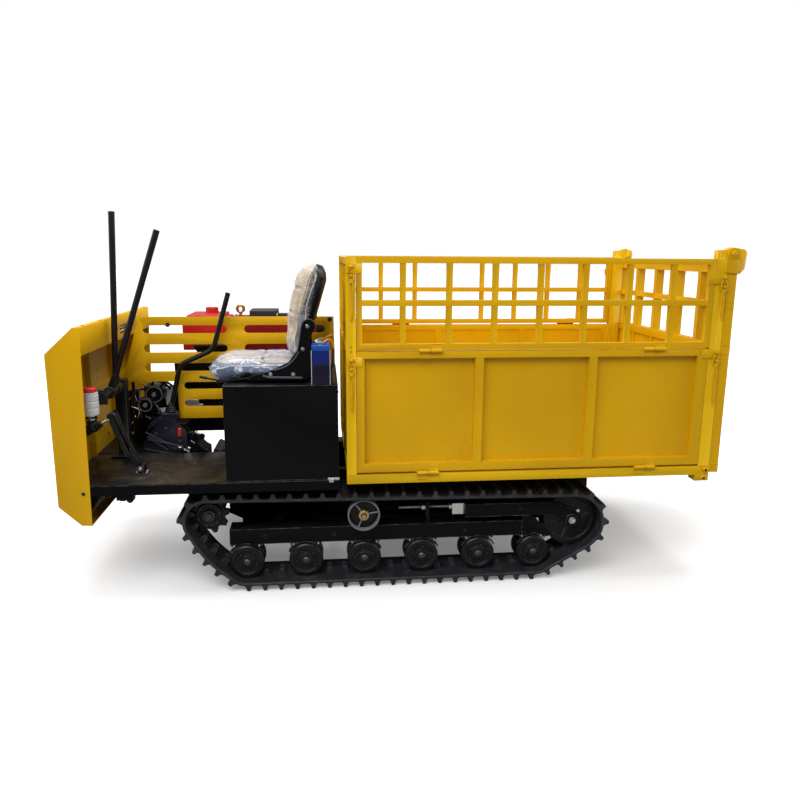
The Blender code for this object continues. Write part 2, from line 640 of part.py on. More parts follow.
def brake():
    px, pz = PEDAL_PIVOT
    y = -0.425
    foot = [
        box((px - 0.030, px + 0.030), (y - 0.034, y + 0.034), (PLATE_TOP + GAP, PLATE_TOP + 0.006)),
        box((px - 0.014, px + 0.014), (y - 0.032, y - 0.022), (PLATE_TOP, pz + 0.012)),
        box((px - 0.014, px + 0.014), (y + 0.022, y + 0.032), (PLATE_TOP, pz + 0.012)),
        cross_rod(PEDAL_PIVOT, (y - 0.036, y + 0.036), 0.007),
    ]
    node("pedal_bracket", foot, PAINT_BLACK)
    hub = turned(((0.0075, -0.018), (0.014, -0.018), (0.014, 0.018), (0.0075, 0.018)), PEDAL_PIVOT, 1, 16)
    hub.data.transform(Matrix.Translation((0, y, 0)))
    low, top = (-1.262, 0.640), (-1.327, 0.828)
    channel = ((-1.216, 0.571), (-1.196, 0.588), (-1.236, 0.650), (-1.300, 0.822), (-1.318, 0.830), (-1.262, 0.646))
    arm = prism(channel, "Y", (y - 0.018, y + 0.018))
    pad = ((low[0] - 0.004, low[1]), (low[0] + 0.010, low[1] + 0.004), (top[0] + 0.010, top[1] + 0.004),
           (top[0] - 0.004, top[1]))
    plate = prism(pad, "Y", (y - 0.050, y + 0.045))
    push = rod((-1.320, MASTER, 0.806), (-1.354, MASTER, 0.789), 0.0045, 8)
    node("brake_pedal", [plate, arm, hub, push], PAINT_BLACK, origin=(px, y, pz))
    cy = MASTER
    cylinder = [
        rod((-1.368, cy, 0.782), (-1.440, cy, 0.746), 0.021, 14),
        rod((-1.393, cy, 0.765), (-1.393, cy, 0.832), 0.024, 16),
        rod((-1.393, cy, 0.829), (-1.393, cy, 0.930), 0.036, 20),
        rod((-1.393, cy, 0.929), (-1.393, cy, 0.951), 0.029, 20),
        box((COWL_FRONT + 0.0045, -1.425), (cy - 0.030, cy + 0.030), (0.735, 0.760)),
        box((COWL_FRONT + 0.0045, -1.504), (cy - 0.040, cy + 0.040), (0.640, 0.800)),
    ]
    bore = rod((-1.350, cy, 0.791), (-1.425, cy, 0.7535), 0.0125, 12)
    node("brake_cylinder", cylinder, ((0.75, 0.77, 0.80), 0.4, 0.0), [bore])


# Load box


def knuckle_piece(x0, x1, y, z, radius=0.0085):
    return rod((x0, y, z), (x1, y, z), radius, 8)


# Each latch: the end of the gate it sits at, its x, the height of its pin and the height its handle hangs to.
LATCHES = {
    "lower": (("front", -0.248, 1.082, 0.859), ("rear", 1.420, 1.104, 0.862)),
    "upper": (("front", -0.248, 1.482, 1.258), ("rear", 1.424, 1.440, 1.257)),
}
PEG_DROP = 0.040


def latch_tabs(side_name, side, level):
    """The plates on a gate's corners that lap the posts, each with two ears and a pin, and their latches."""
    face = HALF_WIDTH
    pieces = []
    for end, x, z, low in LATCHES[level]:
        across = (x - 0.020, GATE_FRONT + 0.024) if end == "front" else (GATE_REAR - 0.030, x + 0.0125)
        pieces.append(box(across, (side * (face - 0.0006), side * (face + 0.0035)), (z - 0.028, z + 0.012)))
        for offset in (-0.011, 0.008):
            ears = (x + offset, x + offset + 0.003)
            pieces.append(box(ears, (side * (face + 0.003), side * (face + 0.0125)), (z - 0.005, z + 0.005)))
        pieces.append(rod((x - 0.010, side * HINGE_OUT, z), (x + 0.010, side * HINGE_OUT, z), 0.0020, 6))
        latch(f"gate_latch_{side_name}_{end}_{level}", side, x, z, low)
    return pieces


def latch(name, side, x, z, low):
    """A wire link that drops over the post's peg, and its handle."""
    y = side * HINGE_OUT
    eye = turned(((0.0028, -0.0065), (0.0052, -0.0065), (0.0052, 0.0065), (0.0028, 0.0065)), (0, 0), 1, 8)
    eye.data.transform(Matrix.Translation((x, y, z)) @ Matrix.Rotation(math.pi / 2, 4, "Z"))
    wide = 0.0125
    loop = [
        (x - 0.003, y, z - 0.004), (x - wide, y, z - 0.026), (x - wide, y, z - 0.054), (x, y, z - 0.064),
        (x + wide, y, z - 0.054), (x + wide, y, z - 0.026), (x + 0.003, y, z - 0.004),
    ]
    handle = pipe([(x, y, z - 0.060), (x, y - side * 0.001, low)], 0.0050, 0)
    node(name, [handle, pipe(loop, 0.0025, 0), eye], PAINT_YELLOW, origin=(x, y, z))


KNUCKLES = (0.096, 1.118)


def hinge_pair(side, z, leaf_z, x_from, moving):
    """One half of each two-piece hinge: the fixed half has the pin, the moving half the bore."""
    y = side * HINGE_OUT
    pieces, holes = [], []
    for start in KNUCKLES:
        low = BOX_FRONT + start + 0.218 + (0.051 if moving else 0.0) + x_from
        high = low + 0.048
        pieces.append(knuckle_piece(low, high, y, z))
        pieces.append(box((low, high), (side * (HALF_WIDTH - 0.002), side * (HALF_WIDTH + 0.004)), leaf_z))
        if moving:
            holes.append(rod((low - 0.001, y, z), (high + 0.001, y, z), 0.0050, 8))
        else:
            pieces.append(rod((low + 0.02, y, z), (low + 0.101, y, z), 0.0040, 8))
    return pieces, holes


def box_frame():
    front_x, rear_x = BOX_FRONT, 1.4395
    inner = HALF_WIDTH - 0.040
    pieces = [box((front_x, rear_x), (-inner - 0.002, inner + 0.002), (0.5585, 0.5625))]
    for _, side in SIDES:
        outer = side * HALF_WIDTH
        post_face = side * (HALF_WIDTH - 0.0015)
        pieces.append(box((front_x, rear_x), (side * inner, outer), (BOX_BASE, BOX_BASE + RAIL)))
        pieces.append(box((front_x, front_x + 0.043), (side * inner, post_face), (BOX_BASE, BOX_TOP)))
        pieces.append(box((1.3835, rear_x), (side * 0.545, side * 0.598), (BOX_BASE + 0.01, 1.520)))
        pieces.append(box((1.390, 1.438), (side * 0.5575, side * 0.5905), (1.480, 1.560)))
        pieces.append(box((1.400, TAIL_PIN[0]), (side * 0.557, side * 0.591), (1.504, 1.561)))
        pieces.append(cross_rod(TAIL_PIN, (side * 0.5565, side * 0.5915), 0.027, 14))
        pieces.append(cross_rod(TAIL_PIN, (side * 0.570, side * 0.614), 0.0105, 10))
        pieces.append(box((1.373, rear_x), (side * 0.540, outer), (0.490, 0.562)))
        for x, z in ((1.417, 0.545), (1.410, 0.507)):
            pieces.append(cross_rod((x, z), (side * 0.590, side * 0.613), 0.011, 10))
        for _, x, z, _ in LATCHES["lower"] + LATCHES["upper"]:
            pieces.append(cross_rod((x, z - PEG_DROP), (side * 0.585, side * 0.617), 0.005, 6))
        halves, _ = hinge_pair(side, BOX_BASE + 0.047, (BOX_BASE + 0.015, BOX_BASE + 0.047), 0.0, False)
        pieces += halves
        pieces.append(box((front_x + 0.03, rear_x - 0.02), (side * 0.190, side * 0.235), (0.4945, 0.560)))
        lug = ((DUMP_PIVOT[0] - 0.06, 0.500), *arc(DUMP_PIVOT, 0.034, 180, 360, 6), (DUMP_PIVOT[0] + 0.06, 0.500))
        pieces.append(prism(lug, "Y", (side * 0.195, side * 0.230)))
    for x in (0.130, 0.560, 0.990):
        pieces.append(box((x, x + 0.040), (-inner - 0.002, inner + 0.002), (0.526, 0.560)))
    pieces.append(box((front_x, front_x + 0.040), (-inner, inner), (BOX_BASE, 0.560)))
    pieces.append(box((1.380, rear_x), (-inner, inner), (BOX_BASE, 0.560)))
    pieces.append(box((front_x, front_x + 0.030), (-inner, inner), (1.490, 1.520)))
    pieces.append(box((front_x + 0.012, front_x + 0.016), (-inner, inner), (0.550, 1.500)))
    for y in (-0.20, 0.20):
        pieces.append(box((front_x, front_x + 0.028), (y - 0.0125, y + 0.0125), (0.550, 1.500)))
    pieces.append(box((front_x, front_x + 0.028), (-inner, inner), (1.100, 1.125)))
    for y in (-0.045, 0.033):
        ear = (*arc(HOIST_HEAD, 0.026, 180, 360, 6), (HOIST_HEAD[0] + 0.026, 0.5300), (HOIST_HEAD[0] - 0.026, 0.5300))
        pieces.append(prism(ear, "Y", (y, y + 0.012)))
    pieces.append(box((HOIST_HEAD[0] - 0.03, HOIST_HEAD[0] + 0.03), (-0.200, 0.200), (0.5265, 0.560)))
    cuts = [cross_rod(DUMP_PIVOT, (side * 0.17, side * 0.2395), 0.0188) for _, side in SIDES]
    node("load_box", pieces, PAINT_YELLOW, cuts, origin=(DUMP_PIVOT[0], 0.0, DUMP_PIVOT[1]))


def lower_gate(side_name, side):
    outer, inner = side * HALF_WIDTH, side * (HALF_WIDTH - GATE_TUBE)
    low, high = BOX_BASE + RAIL + 0.010, SPLIT - 0.004
    pieces = [box((GATE_FRONT, GATE_REAR), (outer, inner), zs) for zs in ((low, low + 0.038), (high - 0.030, high))]
    dividers = (BOX_FRONT + 0.590, BOX_FRONT + 1.112)
    spans = [(GATE_FRONT, GATE_FRONT + 0.034), (GATE_REAR - 0.045, GATE_REAR)]
    spans += [(x - 0.019, x + 0.019) for x in dividers]
    pieces += [box(span, (outer, inner), (low, high)) for span in spans]
    sheet = (side * (HALF_WIDTH - 0.030), side * (HALF_WIDTH - 0.0335))
    pieces.append(box((GATE_FRONT + 0.010, GATE_REAR - 0.010), sheet, (low + 0.010, high - 0.010)))
    halves, holes = hinge_pair(side, BOX_BASE + 0.047, (BOX_BASE + 0.047, BOX_BASE + 0.090), 0.0, True)
    upper, _ = hinge_pair(side, SPLIT, (SPLIT - 0.034, SPLIT), 0.004, False)
    pieces += halves + upper + latch_tabs(side_name, side, "lower")
    node(f"lower_gate_{side_name}", pieces, PAINT_YELLOW, holes, origin=(0.5, side * HINGE_OUT, BOX_BASE + 0.047))


def mesh_gate(side_name, side):
    outer, inner = side * HALF_WIDTH, side * (HALF_WIDTH - MESH_TUBE)
    low, high = SPLIT + 0.004, BOX_TOP
    pieces = [box((GATE_FRONT, GATE_REAR), (outer, inner), (z, z + MESH_TUBE)) for z in (low, 1.315, high - MESH_TUBE)]
    spots = [GATE_FRONT, *(MESH_FIRST - MESH_TUBE / 2 + MESH_STEP * bar for bar in range(7)), GATE_REAR - MESH_TUBE]
    for x in spots:
        thin = 0.0 if x in (spots[0], spots[-1]) else 0.001
        pieces.append(box((x, x + MESH_TUBE), (outer - side * thin, inner + side * thin), (low + 0.001, high - 0.001)))
    halves, holes = hinge_pair(side, SPLIT, (SPLIT, SPLIT + 0.028), 0.004, True)
    pieces += halves + latch_tabs(side_name, side, "upper")
    node(f"mesh_gate_{side_name}", pieces, PAINT_YELLOW, holes, origin=(0.5, side * HINGE_OUT, SPLIT))


def tailgate():
    x0, x1 = TAIL_FRONT, TAIL_REAR
    half = HALF_WIDTH - 0.001
    low, high = 0.531, 1.500
    pieces = [box((x0, x1), (-half, half), (z, z + 0.040)) for z in (low, 1.095, high - 0.040)]
    pieces.append(box((x0 + 0.002, x1 - 0.002), (-half, half), (1.305, 1.330)))
    bays = 5
    for bar in range(bays + 1):
        y = -half + (2 * half - 0.040) / bays * bar
        wide = 0.040 if bar in (0, bays) else 0.028
        pieces.append(box((x0 + 0.001, x1 - 0.001), (y, y + wide), (low + 0.001, high - 0.001)))
    pieces.append(box((x0 + 0.008, x0 + 0.012), (-half + 0.01, half - 0.01), (low + 0.01, 1.110)))
    holes = []
    ear = (
        (1.428, 1.462), (1.492, 1.457), (1.512, 1.480), (1.517, 1.550), (1.508, 1.564), *arc(TAIL_PIN, 0.026, 80, 190, 4),
    )
    for _, side in SIDES:
        pieces.append(prism(ear, "Y", (side * 0.5985, side * 0.6055)))
        holes.append(cross_rod(TAIL_PIN, (side * 0.590, side * 0.612), 0.0116, 10))
    node("tailgate", pieces, PAINT_YELLOW, holes, origin=(TAIL_PIN[0], 0.0, TAIL_PIN[1]))


def hoist():
    foot = Vector((HOIST_FOOT[0], 0.0, HOIST_FOOT[1]))
    head = Vector((HOIST_HEAD[0], 0.0, HOIST_HEAD[1]))
    along = (head - foot).normalized()
    length = (head - foot).length
    eye = turned(((0.0132, -0.024), (0.030, -0.024), (0.030, 0.024), (0.0132, 0.024)), HOIST_FOOT, 1, 16)
    tube = rod(foot + along * 0.044, foot + along * (length - 0.120), 0.036, 16)
    neck = rod(foot + along * 0.020, foot + along * 0.050, 0.022, 12)
    bore = rod(foot + along * 0.060, foot + along * (length - 0.060), 0.0240, 16)
    node("hoist_barrel", [tube, neck, eye], PAINT_BLACK, [bore], origin=tuple(foot))
    stem = rod(foot + along * 0.070, head - along * 0.016, 0.0180, 16)
    piston = rod(foot + along * 0.066, foot + along * 0.100, 0.0235, 16)
    knob = cross_rod(HOIST_HEAD, (-0.029, 0.029), 0.022, 16)
    node("hoist_rod", [stem, piston, knob], BARE_STEEL, origin=tuple(foot))


def build():
    for side_name, side in SIDES:
        track(side_name, side)
        track_frame(side_name, side)
        for index, place in enumerate(roller_places(), 1):
            road_roller(side_name, side, index, place)
        sprocket(side_name, side)
        idler(side_name, side)
        tension_yoke(side_name, side)
        carrier_wheel(side_name, side)
        lower_gate(side_name, side)
        mesh_gate(side_name, side)
    chassis_frame()
    platform()
    front_cowl()
    guard_panel()
    seat_base()
    seat_frame()
    seat_cushions()
    battery()
    engine()
    gearbox()
    gear_lever()
    controls()
    brake()
    box_frame()
    tailgate()
    hoist()


build()
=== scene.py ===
"""Looks of the tracked dump transporter: materials, fine pieces, seat, floor, light and camera."""

import bisect
import math
import random

import bmesh
import bpy
from mathutils import Matrix, Vector, noise
from mathutils.bvhtree import BVHTree


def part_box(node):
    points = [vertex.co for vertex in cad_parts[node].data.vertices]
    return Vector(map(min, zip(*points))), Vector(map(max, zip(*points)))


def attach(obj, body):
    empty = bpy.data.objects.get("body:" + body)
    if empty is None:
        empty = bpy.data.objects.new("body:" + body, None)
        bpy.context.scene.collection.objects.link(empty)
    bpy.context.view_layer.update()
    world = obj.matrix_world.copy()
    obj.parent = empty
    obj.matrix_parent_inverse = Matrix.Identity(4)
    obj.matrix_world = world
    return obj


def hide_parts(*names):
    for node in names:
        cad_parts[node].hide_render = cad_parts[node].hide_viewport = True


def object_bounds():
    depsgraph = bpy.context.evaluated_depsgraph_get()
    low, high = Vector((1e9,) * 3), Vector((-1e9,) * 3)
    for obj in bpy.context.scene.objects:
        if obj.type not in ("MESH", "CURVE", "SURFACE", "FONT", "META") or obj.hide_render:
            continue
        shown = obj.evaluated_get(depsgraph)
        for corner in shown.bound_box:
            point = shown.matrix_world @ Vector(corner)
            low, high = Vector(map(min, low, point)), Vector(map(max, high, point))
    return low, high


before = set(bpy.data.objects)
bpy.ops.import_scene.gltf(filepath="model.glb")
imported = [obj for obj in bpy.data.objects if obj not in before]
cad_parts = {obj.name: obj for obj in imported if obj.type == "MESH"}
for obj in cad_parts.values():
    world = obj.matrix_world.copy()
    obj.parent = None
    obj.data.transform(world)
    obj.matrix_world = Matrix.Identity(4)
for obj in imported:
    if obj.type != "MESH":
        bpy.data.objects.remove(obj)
CAD_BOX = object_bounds()
SIDES = (("left", -1), ("right", 1))


# Materials


class Look:
    """A Principled material built from noise, ramps and bumps in the object's own coordinates."""

    def __init__(self, name, colour=(0.5, 0.5, 0.5), rough=0.5, metal=0.0):
        self.mat = bpy.data.materials.new(name)
        self.mat.use_nodes = True
        self.tree = self.mat.node_tree
        self.shader = self.tree.nodes["Principled BSDF"]
        self.place = self.node("ShaderNodeTexCoord").outputs["Object"]
        self.set("Base Color", colour)
        self.set("Roughness", rough)
        self.set("Metallic", metal)

    def node(self, kind, **settings):
        made = self.tree.nodes.new(kind)
        for key, value in settings.items():
            setattr(made, key, value)
        return made

    def put(self, socket, value):
        if isinstance(value, bpy.types.NodeSocket):
            self.tree.links.new(value, socket)
        elif isinstance(value, tuple) and len(value) == 3 and socket.type == "RGBA":
            socket.default_value = (*value, 1.0)
        else:
            socket.default_value = value

    def set(self, name, value):
        self.put(self.shader.inputs[name], value)
        return self

    def stretched(self, scale):
        made = self.node("ShaderNodeMapping")
        self.put(made.inputs["Vector"], self.place)
        made.inputs["Scale"].default_value = scale
        return made.outputs["Vector"]

    def noise(self, scale, detail=3.0, rough=0.55, where=None, twist=0.0):
        made = self.node("ShaderNodeTexNoise")
        self.put(made.inputs["Vector"], where or self.place)
        made.inputs["Scale"].default_value = scale
        made.inputs["Detail"].default_value = detail
        made.inputs["Roughness"].default_value = rough
        made.inputs["Distortion"].default_value = twist
        return made.outputs["Fac"]

    def ramp(self, value, low, high, bottom=0.0, top=1.0):
        made = self.node("ShaderNodeMapRange", interpolation_type="SMOOTHSTEP")
        for key, number in (
            ("Value", value), ("From Min", low), ("From Max", high), ("To Min", bottom), ("To Max", top)
        ):
            self.put(made.inputs[key], number)
        return made.outputs["Result"]

    def combine(self, kind, a, b):
        made = self.node("ShaderNodeMath", operation=kind)
        self.put(made.inputs[0], a)
        self.put(made.inputs[1], b)
        return made.outputs["Value"]

    def mix(self, amount, a, b):
        made = self.node("ShaderNodeMix", data_type="RGBA")
        self.put(made.inputs["Factor"], amount)
        for socket, value in ((made.inputs[6], a), (made.inputs[7], b)):
            self.put(socket, value)
        return made.outputs[2]

    def bump(self, height, distance, strength=1.0, under=None):
        made = self.node("ShaderNodeBump")
        made.inputs["Strength"].default_value = strength
        made.inputs["Distance"].default_value = distance
        self.put(made.inputs["Height"], height)
        if under is not None:
            self.put(made.inputs["Normal"], under)
        return made.outputs["Normal"]

    def facing_up(self):
        split = self.node("ShaderNodeSeparateXYZ")
        self.put(split.inputs[0], self.node("ShaderNodeNewGeometry").outputs["Normal"])
        return self.ramp(split.outputs["Z"], 0.4, 1.0)

    def edges(self, width):
        """1 along edges, where the rounded normal leaves the flat one, broken up by noise: the mask of a
        painted edge highlight.
        """
        bevel = self.node("ShaderNodeBevel", samples=3)
        bevel.inputs["Radius"].default_value = width
        turned = self.node("ShaderNodeVectorMath", operation="DOT_PRODUCT")
        self.put(turned.inputs[0], bevel.outputs["Normal"])
        self.put(turned.inputs[1], self.node("ShaderNodeNewGeometry").outputs["Normal"])
        found = self.ramp(turned.outputs["Value"], 0.90, 0.995, 1.0, 0.0)
        return self.combine("MULTIPLY", found, self.ramp(self.noise(24.0, 4.0, 0.6), 0.35, 0.62))


def shade(colour, factor):
    return tuple(min(1.0, part * factor) for part in colour)


def painted(name, colour, rough=0.28, dust=0.25, wave=0.0015, dust_colour=(0.20, 0.17, 0.13), chips=None,
            gloss=0.3, edge=0.0, edge_highlight_colour=(0.16, 0.16, 0.17), edge_highlight_width=0.003):
    """Sprayed paint: slight tone drift, orange peel, a soft waviness, dust on top, a few chips and, where
    asked, a painted highlight along its edges.
    """
    look = Look(name, colour, rough)
    drift = look.ramp(look.noise(1.7, 2.0), 0.3, 0.7)
    tone = look.mix(drift, shade(colour, 0.93), shade(colour, 1.05))
    mottle = look.ramp(look.noise(14.0, 5.0, 0.65), 0.35, 0.75)
    tone = look.mix(look.combine("MULTIPLY", mottle, 0.10), tone, shade(colour, 0.75))
    settle = look.combine("MULTIPLY", look.facing_up(), look.ramp(look.noise(9.0, 6.0, 0.7), 0.30, 0.75))
    settle = look.combine("MULTIPLY", settle, dust)
    tone = look.mix(settle, tone, dust_colour)
    if chips:
        spots = look.ramp(look.noise(38.0, 6.0, 0.7), 0.70, 0.73)
        spots = look.combine("MULTIPLY", spots, look.ramp(look.noise(2.3, 2.0), 0.52, 0.60))
        tone = look.mix(spots, tone, chips)
    look.set("Base Color", tone)
    smear = look.ramp(look.noise(5.0, 4.0, 0.6), 0.3, 0.7, rough * 0.8, rough * 1.35)
    look.set("Roughness", look.combine("ADD", smear, look.combine("MULTIPLY", settle, 0.5)))
    wavy = look.bump(look.noise(4.5, 2.0, 0.4), wave)
    peel = look.bump(look.noise(620.0, 2.0, 0.5), 0.00012, 0.5, wavy)
    look.set("Normal", peel)
    look.set("Specular IOR Level", gloss)
    # Lighter colour along the edges: a painted highlight.
    if edge:
        tone = look.mix(look.combine("MULTIPLY", look.edges(edge_highlight_width), edge), tone, edge_highlight_colour)
        look.set("Base Color", tone)
    return look.mat


def steel(name, colour, rough, brown=0.15):
    look = Look(name, colour, rough, 1.0)
    rust = look.ramp(look.noise(60.0, 6.0, 0.7), 0.52, 0.72, 0.0, brown)
    look.set("Base Color", look.mix(rust, colour, (0.10, 0.05, 0.025)))
    look.set("Roughness", look.ramp(look.noise(30.0, 4.0), 0.3, 0.7, rough * 0.75, rough * 1.4))
    grain = look.noise(1.0, 3.0, 0.6, look.stretched((900.0, 60.0, 900.0)))
    look.set("Normal", look.bump(grain, 0.00008, 0.4))
    return look.mat


def rubbery(name, colour, rough, dirt):
    look = Look(name, colour, rough)
    soil = look.ramp(look.noise(16.0, 7.0, 0.7), 0.42, 0.72, 0.0, dirt)
    look.set("Base Color", look.mix(soil, colour, (0.095, 0.080, 0.062)))
    look.set("Roughness", look.ramp(look.noise(22.0, 4.0), 0.3, 0.75, rough * 0.8, min(1.0, rough * 1.25)))
    grain = look.bump(look.noise(260.0, 4.0, 0.6), 0.0003, 0.5)
    look.set("Normal", look.bump(look.noise(30.0, 3.0), 0.0008, 0.6, grain))
    look.set("Specular IOR Level", 0.45)
    return look.mat


def plastic(name, colour, rough=0.35, through=0.0):
    look = Look(name, colour, rough)
    tone = look.ramp(look.noise(20.0, 4.0), 0.3, 0.7)
    look.set("Base Color", look.mix(tone, shade(colour, 0.9), shade(colour, 1.08)))
    look.set("Normal", look.bump(look.noise(340.0, 2.0), 0.0001, 0.4))
    look.set("Subsurface Weight", through)
    look.set("Subsurface Radius", (0.01, 0.01, 0.01))
    return look.mat


def floor_plate():
    """Black paint with brown patches on its top, a painted reflection laid where boots rub the paint, with
    dried dirt and a faint lozenge tread.
    """
    look = Look("floor_plate_wear_and_painted_reflection", (0.03, 0.027, 0.025), 0.35)
    top = look.facing_up()
    # Brown patches on the top faces only: a painted reflection, standing also for boot wear.
    worn = look.ramp(look.noise(4.2, 5.0, 0.6, twist=0.6), 0.36, 0.64)
    fine = look.ramp(look.noise(42.0, 6.0, 0.7), 0.35, 0.70)
    brown = look.mix(fine, (0.022, 0.017, 0.011), (0.056, 0.045, 0.029))
    amount = look.combine("MULTIPLY", look.combine("MULTIPLY", worn, 0.85), top)
    look.set("Base Color", look.mix(amount, (0.0040, 0.0038, 0.0046), brown))
    look.set("Roughness", look.ramp(look.noise(7.0, 4.0), 0.3, 0.7, 0.24, 0.50))
    look.set("Specular IOR Level", look.ramp(top, 0.0, 1.0, 0.06, 0.26))
    tread = look.node("ShaderNodeTexChecker")
    look.put(tread.inputs["Vector"], look.stretched((34.0, 34.0, 1.0)))
    tread.inputs["Scale"].default_value = 1.0
    raised = look.bump(tread.outputs["Fac"], 0.0004, 0.15)
    look.set("Normal", look.bump(look.noise(70.0, 6.0, 0.7), 0.0005, 0.4, raised))
    return look.mat


def vinyl(name, up, level):
    """Beige woven vinyl with a fine brown stripe, and slate vinyl below the level along the up direction."""
    look = Look(name, (0.4, 0.3, 0.2), 0.55)
    stripe = look.node("ShaderNodeTexWave", wave_type="BANDS", bands_direction="Y")
    look.put(stripe.inputs["Vector"], look.place)
    stripe.inputs["Scale"].default_value = 24.0
    stripe.inputs["Distortion"].default_value = 1.2
    dark = look.combine(
        "MULTIPLY", look.ramp(stripe.outputs["Fac"], 0.55, 0.95),
        look.ramp(look.noise(8.0, 3.0), 0.35, 0.7, 0.15, 0.55),
    )
    beige = look.mix(dark, (0.47, 0.36, 0.24), (0.16, 0.10, 0.06))
    beige = look.mix(look.ramp(look.noise(180.0, 3.0), 0.4, 0.7, 0.0, 0.3), beige, (0.62, 0.54, 0.44))
    slate = look.mix(look.ramp(look.noise(14.0, 4.0), 0.35, 0.7), (0.060, 0.075, 0.105), (0.14, 0.155, 0.19))
    height = look.node("ShaderNodeVectorMath", operation="DOT_PRODUCT")
    look.put(height.inputs[0], look.place)
    height.inputs[1].default_value = up
    look.set(
        "Base Color", look.mix(look.ramp(height.outputs["Value"], level - 0.002, level + 0.002), slate, beige)
    )
    look.set("Normal", look.bump(look.noise(520.0, 2.0, 0.5), 0.0004, 0.5))
    look.set("Sheen Weight", 0.15)
    return look.mat


def film(name, milk, tint):
    """Thin clear wrapping: see-through, with sharp glossy wrinkles whose ridges are painted near-white as
    highlights, and milky folds in its tint, partly a painted reflection.
    """
    look = Look(name, tint, 0.10)
    creases = look.noise(4.2, 4.0, 0.62, look.stretched((1.0, 1.4, 2.6)), 1.1)
    # Near-white lines along the creases: painted highlights.
    crease_highlight = look.ramp(
        look.combine("ABSOLUTE", look.combine("SUBTRACT", creases, 0.5), 0.0), 0.0, 0.022, 1.0, 0.0
    )
    broad = look.noise(5.0, 3.0, 0.6, look.stretched((1.0, 1.0, 2.4)), 0.8)
    # Milky patches in the film's tint: partly milkiness, partly a painted reflection.
    milkiness_and_reflection = look.ramp(broad, 0.40, 0.68, milk * 0.30, milk)
    look.set("Alpha", look.combine("MAXIMUM", look.combine("MULTIPLY", crease_highlight, min(1.0, milk * 1.5)), milkiness_and_reflection))
    look.set("Base Color", look.mix(crease_highlight, tint, (0.90, 0.93, 0.98)))
    look.set("Normal", look.bump(creases, 0.012, 0.8))
    look.set("Roughness", 0.17)
    look.set("Specular IOR Level", 0.6)
    return look.mat


